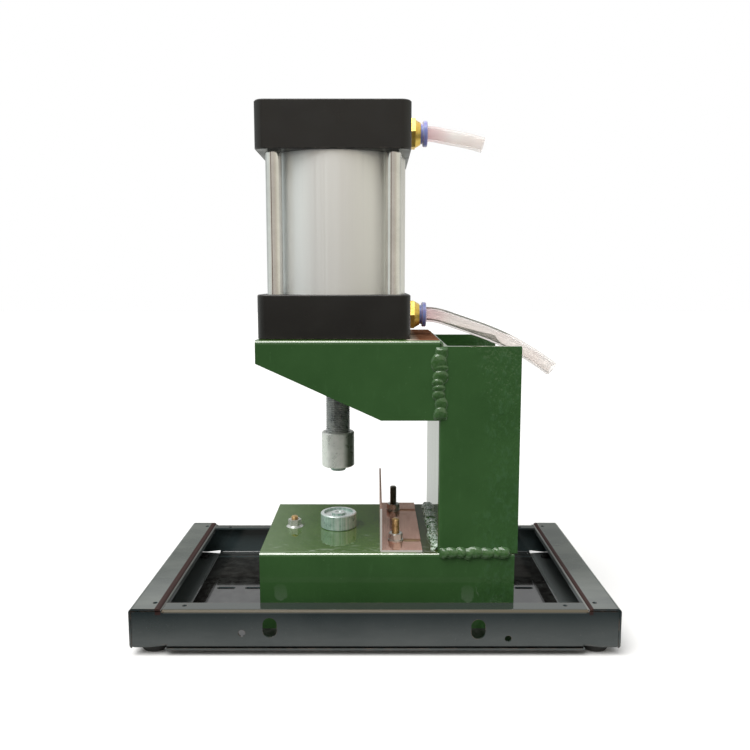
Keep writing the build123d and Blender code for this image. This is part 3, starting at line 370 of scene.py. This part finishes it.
def ground_steel():
    """Hard-chromed, ground rod: nearly a mirror, with faint lines along it and light smears."""
    look = Look("ground_steel", Metallic=1.0)
    along = look.noise(0.8 * MM, 2.0, at=look.stretched(1.0, 1.0, 0.01))
    smears = look.ramp(look.noise(14 * MM, 4.0), 0.35, 0.7)
    look.set("Base Color", look.mix(smears, (0.74, 0.74, 0.71), (0.84, 0.84, 0.81)))
    look.set("Roughness", look.ramp(look.noise(9 * MM, 4.0), 0.3, 0.7, 0.07, 0.15))
    look.set("Normal", look.bump(along, 0.006 * MM))
    return look.material


def stainless():
    """Bright rolled sheet with fine straight grain; its warm pink colour is a painted reflection."""
    look = Look("stainless")
    grain = look.noise(0.5 * MM, 2.0, at=look.stretched(1.0, 0.02, 1.0))
    cloud = look.ramp(look.noise(20 * MM, 3.0), 0.3, 0.7)
    end_of_sheet = look.ramp(look.math("ABSOLUTE", look.axis("Y")), 59 * MM, 60 * MM)
    cut_edge = look.both(look.ramp(look.math("ABSOLUTE", look.facing("Y")), 0.6, 0.8), end_of_sheet)
    # The sheet's pink colour is a painted warm reflection.
    sheet = look.mix(cloud, (0.80, 0.46, 0.36), (0.90, 0.56, 0.45))
    look.set("Base Color", look.mix(cut_edge, sheet, (0.64, 0.62, 0.59)))
    look.set("Metallic", look.ramp(cut_edge, 0.0, 1.0, 0.80, 0.15))
    look.set("Roughness", look.math("ADD", look.ramp(grain, 0.3, 0.7, 0.12, 0.22), look.ramp(cut_edge, 0, 1, 0, 0.3)))
    look.set("Normal", look.bump(grain, 0.003 * MM))
    return look.material


def brass():
    """Golden machined brass with fine tool marks and darker hollows."""
    look = Look("brass", Metallic=0.75)
    marks = look.noise(0.5 * MM, 2.0, at=look.stretched(1.0, 0.05, 0.05))
    cloud = look.ramp(look.noise(3 * MM, 3.0), 0.3, 0.7)
    tarnish = look.ramp(look.noise(1.6 * MM, 3.0), 0.58, 0.70, 0.0, 0.6)
    colour = look.mix(cloud, (0.98, 0.62, 0.12), (1.0, 0.76, 0.20))
    look.set("Base Color", look.mix(tarnish, colour, (0.36, 0.18, 0.03)))
    look.set("Roughness", look.ramp(cloud, 0.0, 1.0, 0.46, 0.34))
    look.set("Normal", look.bump(marks, 0.008 * MM))
    return look.material


def blue_plastic():
    """Moulded, slightly translucent blue plastic that turns lavender towards its rims as a painted sheen."""
    look = Look("blue_plastic", Roughness=0.25, Subsurface_Weight=0.3, Subsurface_Scale=0.002)
    cloud = look.ramp(look.noise(4 * MM, 2.0), 0.3, 0.7)
    body = look.mix(cloud, (0.23, 0.27, 0.64), (0.33, 0.36, 0.76))
    # Lavender at a low angle and along the edges is a painted sheen.
    rim = look.math("MAXIMUM", look.ramp(look.facing_camera(), 0.35, 0.95, 0.0, 0.9), look.edges(0.7 * MM))
    look.set("Base Color", look.mix(rim, body, (0.72, 0.70, 0.88)))
    look.set("Normal", look.bump(look.noise(0.6 * MM, 2.0), 0.010 * MM))
    return look.material


def clear_tube():
    """Clear soft tube, a little cloudy, and pinkish by its fitting."""
    look = Look("clear_tube", IOR=1.17, Transmission_Weight=0.82)
    cloud = look.ramp(look.noise(12 * MM, 3.0, at=look.stretched(0.4, 1.0, 1.0)), 0.3, 0.7)
    colour = look.mix(cloud, (0.90, 0.84, 0.81), (0.96, 0.94, 0.92))
    by_fitting = look.ramp(look.axis("X"), 43 * MM, 62 * MM, 1.0, 0.0)
    look.set("Base Color", look.mix(by_fitting, colour, (0.86, 0.72, 0.72)))
    look.set("Roughness", look.ramp(cloud, 0.0, 1.0, 0.04, 0.09))
    look.set("Normal", look.bump(look.noise(5 * MM, 2.0), 0.015 * MM))
    return look.material


def soft_solid(name, dark, light, roughness, grain):
    """Rubber or matte plastic with moulding grain and a little dust."""
    look = Look(name)
    cloud = look.ramp(look.noise(6 * MM, 4.0), 0.35, 0.68)
    look.set("Base Color", look.mix(cloud, dark, light))
    look.set("Roughness", look.ramp(cloud, 0.0, 1.0, roughness - 0.08, roughness + 0.08))
    look.set("Normal", look.bump(look.noise(grain * MM, 2.0), 0.03 * MM))
    return look.material


def make_materials():
    """Every finish, by the record's slot name, and a few variants."""
    return {
        "tray_paint": tray_paint(),
        "frame_paint": green_enamel("frame_paint"),
        "arm_paint": green_enamel("arm_paint", bare_from=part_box("lower_head")[1][0]),
        "black_head": black_head(),
        "barrel_alloy": barrel_alloy(),
        "ground_steel": ground_steel(),
        # Both welds carry white spots of painted highlight: weld_paint few, pale_weld many.
        "weld_paint": weld_enamel("weld_paint", 0.03),
        "pale_weld": weld_enamel("pale_weld", 0.85),
        "zinc_steel": turned_metal("zinc_steel", (0.46, 0.48, 0.46), (0.62, 0.64, 0.60), 0.28, metallic=0.55),
        "die_steel": die_steel("die_steel", (0.26, 0.40, 0.35), (0.38, 0.54, 0.47), (0.80, 0.84, 0.84)),
        # The holder's side towards +X is painted dark as a painted reflection of the green column.
        "holder_steel": die_steel("holder_steel", (0.82, 0.88, 0.82), (0.96, 1.0, 0.95), (0.97, 0.98, 0.95), 0.85),
        "thread_steel": turned_metal("thread_steel", (0.34, 0.37, 0.37), (0.62, 0.64, 0.62), 0.30, metallic=0.7),
        "black_steel": turned_metal("black_steel", (0.03, 0.03, 0.03), (0.07, 0.07, 0.07), 0.45, metallic=0.3),
        "dark_thread": turned_metal("dark_thread", (0.10, 0.095, 0.07), (0.20, 0.19, 0.15), 0.32, metallic=0.6),
        "yellow_zinc": turned_metal("yellow_zinc", (0.40, 0.25, 0.10), (0.58, 0.41, 0.19), 0.30, metallic=0.5),
        "stainless": stainless(),
        "brass": brass(),
        "bronze": turned_metal("bronze", (0.38, 0.22, 0.10), (0.52, 0.33, 0.18), 0.32),
        "blue_plastic": blue_plastic(),
        "clear_tube": clear_tube(),
        "guide_plastic": soft_solid("guide_plastic", (0.50, 0.44, 0.34), (0.60, 0.54, 0.44), 0.5, 0.6),
        "black_rubber": soft_solid("black_rubber", (0.012, 0.012, 0.012), (0.035, 0.034, 0.033), 0.62, 0.5),
    }


# ---------------------------------------------------------------- meshes
def new_piece(name, points, faces, material, node):
    """A mesh object in the frame, smooth shaded, that rides the body of a CAD node."""
    mesh = bpy.data.meshes.new(name)
    mesh.from_pydata(points, [], faces)
    mesh.update()
    mesh.shade_smooth()
    piece = bpy.data.objects.new(name, mesh)
    bpy.context.scene.collection.objects.link(piece)
    mesh.materials.append(material)
    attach(piece, BODY_OF[node])
    return piece


def loft(rings):
    """Points and faces of closed rings joined in order, capped at both ends."""
    count = len(rings[0])
    points = [point for ring in rings for point in ring]
    faces = []
    for level in range(len(rings) - 1):
        for i in range(count):
            j = (i + 1) % count
            low, high = level * count, (level + 1) * count
            faces.append((low + i, low + j, high + j, high + i))
    faces.append(tuple(reversed(range(count))))
    faces.append(tuple(range((len(rings) - 1) * count, len(rings) * count)))
    return points, faces


def join(parts):
    """Several (points, faces) pairs as one."""
    points, faces = [], []
    for more_points, more_faces in parts:
        start = len(points)
        points.extend(more_points)
        faces.extend(tuple(start + i for i in face) for face in more_faces)
    return points, faces


def lump_row(length, width, height, pitch, uneven, seed):
    """Overlapping lumps of a weld: place along and across it, half-length, half-width and height of each."""
    draw = random.Random(seed)
    lumps = []
    place = 0.4 * pitch
    while place < length - 0.3 * pitch:
        size = 1.0 + uneven * draw.uniform(-1.0, 1.0)
        aside = 0.22 * width * uneven * draw.uniform(-1.0, 1.0)
        half_width = 0.5 * width * (1.0 + 0.4 * uneven * draw.uniform(-1.0, 0.6))
        lumps.append((place, aside, 0.86 * pitch * size, half_width, height * (1.0 + 0.35 * uneven * draw.uniform(-1.0, 1.0))))
        place += pitch * size
    return lumps


def bead_mesh(start, end, out, across, lumps, half_width):
    """A weld from start to end: lumps with a steep far side and a long tail, rising along out."""
    start, end, out, across = Vector(start), Vector(end), Vector(out), Vector(across)
    length = (end - start).length
    along = (end - start).normalized()
    rings = []
    arc_steps = 30
    for u in spread(0.0, length, 0.4 * MM):
        taper = min(1.0, 0.15 + min(u, length - u) / (2.2 * MM))
        top = []
        for i in range(arc_steps + 1):
            v = half_width * (2.0 * i / arc_steps - 1.0)
            lift = -0.3 * MM
            for place, aside, reach, half, height in lumps:
                along_part = (u - place) / reach
                inside = 1.0 - along_part ** 2 - ((v - aside) / half) ** 2
                if inside > 0.0:
                    lift = max(lift, height * taper * math.sqrt(inside) * (1.0 + 0.55 * along_part) - 0.1 * MM)
            top.append(start + along * u + across * v + out * lift)
        under = [start + along * u + across * (half_width * side) - out * (0.8 * MM) for side in (1, -1)]
        rings.append([tuple(point) for point in top + under])
    return loft(rings)


def lathe_mesh(centre, profile, sides, thread=None):
    """A turned shape from (z, radius) pairs; thread is (z_low, z_high, pitch, depth) where it is cut."""
    rings = []
    for z, radius in profile:
        ring = []
        for i in range(sides):
            turn = i / sides
            r = radius
            if thread and thread[0] <= z <= thread[1]:
                phase = (z - thread[0]) / thread[2] - turn
                fade = min(1.0, (z - thread[0]) / thread[2], (thread[1] - z) / thread[2] + 0.3)
                wave = abs((phase - math.floor(phase)) * 2.0 - 1.0)
                r -= thread[3] * fade * min(1.0, max(0.0, wave * 1.25 - 0.12))
            angle = 2 * math.pi * turn
            ring.append((centre[0] + r * math.cos(angle), centre[1] + r * math.sin(angle), z))
        rings.append(ring)
    return loft(rings)


def spread(low, high, step):
    """Evenly spaced values from low to high."""
    count = max(1, round((high - low) / step))
    return [low + (high - low) * i / count for i in range(count + 1)]


def hexagon_mesh(centre, low, high, across_flats):
    """An upright hexagonal prism with softened rims."""
    soft = 0.35 * MM
    corner = across_flats / math.sqrt(3)
    rings = []
    for z, shrink in ((low, soft), (low + soft, 0.0), (high - soft, 0.0), (high, soft)):
        ring = []
        for side in range(6):
            for turn in (-0.03, 0.03):
                angle = math.radians(60 * side) + turn
                r = corner - shrink
                ring.append((centre[0] + r * math.cos(angle), centre[1] + r * math.sin(angle), z))
        rings.append(ring)
    return loft(rings)


# ---------------------------------------------------------------- pieces
def weld_beads(materials):
    """Lumpy beads in place of the plain CAD ridges."""
    arm_low, arm_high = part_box("arm_channel")
    column_low, column_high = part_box("column_channel")
    joint_x = column_low[0]
    top_z, bottom_z = column_high[2] - 0.5 * MM, arm_low[2] + 0.5 * MM
    parts = []
    for side in (-1, 1):
        face_y = arm_low[1] if side < 0 else arm_high[1]
        lumps = lump_row(top_z - bottom_z, 11.0 * MM, 2.2 * MM, 7.4 * MM, 0.6, 20 + side)
        parts.append(bead_mesh((joint_x, face_y, bottom_z), (joint_x, face_y, top_z), (0, side, 0), (1, 0, 0),
                               lumps, 7.0 * MM))
    across = Vector((1, 0, -1)).normalized()
    outward = Vector((1, 0, 1)).normalized()
    edge = (joint_x + 1.6 * MM, column_high[2] + 1.6 * MM)
    reach = 58 * MM
    lumps = lump_row(2 * reach, 5.5 * MM, 1.4 * MM, 6.0 * MM, 0.3, 9)
    parts.append(bead_mesh((edge[0], -reach, edge[1]), (edge[0], reach, edge[1]), outward, across, lumps, 3.2 * MM))
    points, faces = join(parts)
    piece = new_piece("arm_weld_lumps", points, faces, materials["weld_paint"], "arm_weld_beads")
    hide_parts("arm_weld_beads")

    base_top = column_low[2]
    left_x, right_x = joint_x + 1.0 * MM, column_high[0] - 5.0 * MM
    parts = []
    for side in (-1, 1):
        face_y = column_low[1] if side < 0 else column_high[1]
        lumps = lump_row(right_x - left_x, 9.6 * MM, 3.0 * MM, 7.2 * MM, 0.35, 40 + side)
        parts.append(bead_mesh((left_x, face_y, base_top), (right_x, face_y, base_top), (0, side, 0), (0, 0, 1),
                               lumps, 5.6 * MM))
    outward = Vector((-1, 0, 1)).normalized()
    across = Vector((1, 0, 1)).normalized()
    root = (joint_x - 1.6 * MM, base_top + 1.6 * MM)
    reach = 58.5 * MM
    lumps = lump_row(2 * reach, 9.0 * MM, 2.0 * MM, 6.5 * MM, 0.5, 11)
    lumps += lump_row(2 * reach, 6.5 * MM, 2.6 * MM, 3.6 * MM, 0.9, 12)
    parts.append(bead_mesh((root[0], -reach, root[1]), (root[0], reach, root[1]), outward, across, lumps, 5.4 * MM))
    points, faces = join(parts)
    piece = new_piece("foot_weld_lumps", points, faces, materials["weld_paint"], "column_weld_beads")
    piece.data.materials.append(materials["pale_weld"])
    # The weld at the column web's foot takes pale_weld, with many painted highlight spots.
    for face in piece.data.polygons:
        if face.center[0] < joint_x + 0.5 * MM:
            face.material_index = 1
    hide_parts("column_weld_beads")


def ram_rod(materials):
    """The ram's rod: long fine thread, ground shank and the neck through the piston."""
    low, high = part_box("piston_rod")
    centre = ((low[0] + high[0]) / 2, (low[1] + high[1]) / 2)
    shank = (high[0] - low[0]) / 2
    shoulder = 0.200
    piston_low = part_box("piston")[0][2]
    thread_radius = 10.0 * MM
    neck = 8.0 * MM
    profile = [(low[2], thread_radius - 1.0 * MM)]
    profile += [(z, thread_radius) for z in spread(low[2] + 1.0 * MM, shoulder - 2.0 * MM, 0.15 * MM)]
    profile += [(shoulder, thread_radius), (shoulder, shank - 1.5 * MM), (shoulder + 1.5 * MM, shank)]
    profile += [(piston_low, shank), (piston_low, neck), (high[2] - 1.0 * MM, neck), (high[2], neck - 1.0 * MM)]
    cut = (low[2] + 1.0 * MM, shoulder - 2.0 * MM, 1.5 * MM, 0.9 * MM)
    points, faces = lathe_mesh(centre, profile, 72, cut)
    piece = new_piece("threaded_rod", points, faces, materials["thread_steel"], "piston_rod")
    piece.data.materials.append(materials["ground_steel"])
    for face in piece.data.polygons:
        if face.center[2] > shoulder + 0.5 * MM:
            face.material_index = 1
    piece.modifiers.new("shade", "EDGE_SPLIT").split_angle = math.radians(50)
    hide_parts("piston_rod")


def bolt_mesh(centre, head_low, head_high, across_flats, thread_low, end, radius):
    """A bolt standing head down: hexagon, plain shank, thread and a chamfered end."""
    pitch, depth = 1.0 * MM, 0.55 * MM
    tip = end - 0.8 * MM
    profile = [(head_high - 0.2 * MM, radius)]
    profile += [(z, radius) for z in spread(thread_low, tip, 0.125 * MM)]
    profile += [(end, radius - 0.9 * MM)]
    shank = lathe_mesh(centre, profile, 32, (thread_low, tip, pitch, depth))
    return join([hexagon_mesh(centre, head_low, head_high, across_flats), shank])


def bolts(materials):
    """Threaded bolts in place of the plain CAD ones."""
    low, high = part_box("gauge_bolts")
    web_under = low[2] + 4 * MM
    x = (low[0] + high[0]) / 2
    y_reach = (high[1] - low[1]) / 2 - 5 * MM
    foot_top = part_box("gauge_nuts")[1][2]
    for name, y, end, finish in (
        ("front_gauge_bolt", -y_reach, web_under + 25.5 * MM, "yellow_zinc"),
        ("back_gauge_bolt", y_reach, high[2], "dark_thread"),
    ):
        points, faces = bolt_mesh((x, y), low[2], web_under, 10 * MM, foot_top - 1 * MM, end, 3 * MM)
        piece = new_piece(name, points, faces, materials[finish], "gauge_bolts")
        piece.modifiers.new("shade", "EDGE_SPLIT").split_angle = math.radians(50)
        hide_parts("gauge_bolts")

    low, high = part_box("frame_clamp_bolts")
    nut_low, nut_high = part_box("clamp_flange_nuts")
    flange = 7.1 * MM
    for name, x in (("front_clamp_bolt", nut_low[0] + flange), ("back_clamp_bolt", nut_high[0] - flange)):
        points, faces = bolt_mesh((x, 0.0), low[2], low[2] + 4 * MM, 10 * MM, nut_low[2] - 12 * MM, high[2], 3 * MM)
        piece = new_piece(name, points, faces, materials["yellow_zinc"], "frame_clamp_bolts")
        piece.modifiers.new("shade", "EDGE_SPLIT").split_angle = math.radians(50)
        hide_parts("frame_clamp_bolts")


SOFT_EDGES = {
    "base_channel": 0.6, "column_channel": 0.6, "arm_channel": 0.6, "bottom_plate": 0.25, "front_rail": 0.3,
    "back_rail": 0.3, "left_side_rail": 0.3, "right_side_rail": 0.3, "back_gauge": 0.3, "gauge_nuts": 0.25,
    "clamp_flange_nuts": 0.25, "gauge_washers": 0.2, "upper_fitting_body": 0.35, "lower_fitting_body": 0.35,
    "cylinder_mounting_screws": 0.4, "foot_nuts": 0.2,
}


SPECIAL_FINISH = {"arm_channel": "arm_paint", "upper_die_holder": "holder_steel"}


def finish_cad_nodes(materials):
    """Gives each CAD node its material, and rounds its sharp edges where the real ones are rounded."""
    slot_of = {entry["node"]: entry["material_slot"] for entry in frame["record"]["subparts"]}
    for name, obj in nodes.items():
        finish = SPECIAL_FINISH.get(name, slot_of[name])
        for slot in obj.material_slots:
            slot.material = materials[finish]
        if name in SOFT_EDGES:
            bevel = obj.modifiers.new("soft_edges", "BEVEL")
            bevel.width = SOFT_EDGES[name] * MM
            bevel.segments = 2
            bevel.limit_method = "ANGLE"
            bevel.angle_limit = math.radians(40)
            bevel.harden_normals = True


# ---------------------------------------------------------------- studio
def floor_paint():
    """A pale floor that shows white, yet reflects as a dim one in front, so that gloss paint keeps its depth."""
    look = Look("pale_floor", Roughness=0.9, Specular_IOR_Level=0.05)
    pale = look.mix(look.noise(0.4, 2.0), (0.92, 0.92, 0.92), (0.95, 0.95, 0.95))
    rays = look.node("LightPath").outputs
    near_or_behind = look.ramp(look.axis("Y"), -0.170, -0.122)
    reflected = look.mix(near_or_behind, (0.042, 0.044, 0.044), (0.62, 0.64, 0.62))
    for_light = look.mix(rays["Is Glossy Ray"], (0.38, 0.38, 0.38), reflected)
    seen = look.math("MAXIMUM", rays["Is Camera Ray"], rays["Is Transmission Ray"])
    look.set("Base Color", look.mix(seen, for_light, pale))
    return look.material


def sky_colours(tree, direction):
    """The room round the object: bright sides and ceiling, dim wall behind, a dark post at the front left."""
    def node(kind, settings=None, **inputs):
        made = tree.nodes.new("ShaderNode" + kind)
        for key, value in (settings or {}).items():
            setattr(made, key, value)
        for key, value in inputs.items():
            socket = made.inputs[int(key[1:])]
            if isinstance(value, bpy.types.NodeSocket):
                tree.links.new(value, socket)
            else:
                socket.default_value = value
        return made

    def ramp(value, stops):
        made = node("ValToRGB", i0=value)
        for place, colour in stops[1:-1]:
            made.color_ramp.elements.new(place)
        for element, (place, colour) in zip(made.color_ramp.elements, stops):
            element.position = place
            element.color = (*colour, 1.0)
        return made.outputs[0]

    def blend(kind, factor, first, second):
        return node("Mix", {"data_type": "RGBA", "blend_type": kind}, i0=factor, i6=first, i7=second).outputs[2]

    def unit(value):
        return node("MapRange", i0=value, i1=-1.0, i2=1.0, i3=0.0, i4=1.0).outputs[0]

    def smooth(value, low, high):
        settings = {"interpolation_type": "SMOOTHSTEP"}
        return node("MapRange", settings, i0=value, i1=low, i2=high, i3=0.0, i4=1.0).outputs[0]

    right, back, up = node("SeparateXYZ", i0=direction).outputs
    around = ramp(unit(back), [
        (0.00, (0.56, 0.51, 0.47)), (0.07, (0.60, 0.56, 0.51)), (0.20, (0.76, 0.75, 0.71)),
        (0.50, (0.76, 0.77, 0.76)), (0.70, (0.60, 0.61, 0.61)), (1.00, (0.58, 0.59, 0.59)),
    ])
    tint = ramp(unit(right), [(0.0, (0.96, 1.0, 1.0)), (0.5, (1.0, 1.0, 0.99)), (1.0, (1.0, 0.97, 0.88))])
    around = blend("MULTIPLY", 1.0, around, tint)
    post = ramp(unit(right), [
        (0.165, (0.0, 0.0, 0.0)), (0.185, (1.0, 1.0, 1.0)), (0.265, (1.0, 1.0, 1.0)), (0.285, (0.0, 0.0, 0.0)),
    ])
    front_half = node("MapRange", i0=back, i1=0.0, i2=-0.1, i3=0.0, i4=0.9).outputs[0]
    post = node("Math", {"operation": "MULTIPLY"}, i0=post, i1=front_half).outputs[0]
    around = blend("MIX", post, around, (0.17, 0.11, 0.09, 1.0))
    behind = smooth(back, 0.2, 0.6)
    wall = ramp(up, [(0.12, (0.0, 0.0, 0.0)), (0.20, (1.0, 1.0, 1.0)), (0.345, (1.0, 1.0, 1.0)), (0.385, (0.0, 0.0, 0.0))])
    dim = node("Math", {"operation": "MULTIPLY"}, i0=behind, i1=wall).outputs[0]
    aside = node("Math", {"operation": "ABSOLUTE"}, i0=right).outputs[0]
    wall_colour = blend("MIX", smooth(aside, 0.05, 0.16), (0.12, 0.13, 0.12, 1.0), (0.35, 0.36, 0.35, 1.0))
    around = blend("MIX", dim, around, wall_colour)
    above = node("Math", {"operation": "MULTIPLY"}, i0=behind, i1=smooth(up, 0.35, 0.39)).outputs[0]
    above = node("Math", {"operation": "MAXIMUM"}, i0=above, i1=smooth(up, 0.45, 0.8)).outputs[0]
    return blend("MIX", above, around, (0.78, 0.79, 0.80, 1.0))


def studio():
    """A pale floor, one broad soft light and a plain white surround."""
    mesh = bpy.data.meshes.new("floor")
    reach = 6.0
    mesh.from_pydata([(-reach, -reach, 0), (reach, -reach, 0), (reach, reach, 0), (-reach, reach, 0)], [], [(0, 1, 2, 3)])
    floor = bpy.data.objects.new("floor", mesh)
    bpy.context.scene.collection.objects.link(floor)
    mesh.materials.append(floor_paint())

    world = bpy.data.worlds.new("surround")
    bpy.context.scene.world = world
    world.use_nodes = True
    tree = world.node_tree
    background = tree.nodes["Background"]
    direction = tree.nodes.new("ShaderNodeTexCoord").outputs["Generated"]
    rays = tree.nodes.new("ShaderNodeLightPath").outputs

    def pick(factor, first, second):
        made = tree.nodes.new("ShaderNodeMix")
        made.data_type = "RGBA"
        tree.links.new(factor, made.inputs[0])
        for socket, value in ((made.inputs[6], first), (made.inputs[7], second)):
            if isinstance(value, tuple):
                socket.default_value = value
            else:
                tree.links.new(value, socket)
        return made.outputs[2]

    sky = sky_colours(tree, direction)
    dimmer = tree.nodes.new("ShaderNodeMix")
    dimmer.data_type = "RGBA"
    dimmer.blend_type = "MULTIPLY"
    dimmer.inputs[0].default_value = 1.0
    tree.links.new(sky, dimmer.inputs[6])
    dimmer.inputs[7].default_value = (0.62, 0.62, 0.62, 1.0)
    seen = tree.nodes.new("ShaderNodeMath")
    seen.operation = "MAXIMUM"
    tree.links.new(rays["Is Camera Ray"], seen.inputs[0])
    tree.links.new(rays["Is Transmission Ray"], seen.inputs[1])
    light = pick(rays["Is Glossy Ray"], dimmer.outputs[2], sky)
    tree.links.new(pick(seen.outputs[0], light, (1.0, 1.0, 1.0, 1.0)), background.inputs["Color"])

    lamp = bpy.data.lights.new("soft_sun", "SUN")
    lamp.energy = 3.1
    lamp.angle = math.radians(50)
    lamp.color = (1.0, 0.99, 0.97)
    sun = bpy.data.objects.new("soft_sun", lamp)
    bpy.context.scene.collection.objects.link(sun)
    sun.rotation_euler = Vector((0.35, 0.42, -1.0)).to_track_quat("-Z", "Y").to_euler()


def camera():
    """The photograph's viewpoint: 0.62 m in front, a little above the middle, looking slightly down."""
    data = bpy.data.cameras.new("camera")
    data.sensor_width = 36.0
    data.lens = 36.42
    eye = bpy.data.objects.new("camera", data)
    bpy.context.scene.collection.objects.link(eye)
    eye.location = (0.0, -0.6225, 0.272)
    eye.rotation_euler = (math.radians(90 - 7.07), 0, 0)
    bpy.context.scene.camera = eye


materials = make_materials()
finish_cad_nodes(materials)
weld_beads(materials)
ram_rod(materials)
bolts(materials)
studio()
camera()
bpy.context.scene.view_settings.view_transform = "Standard"
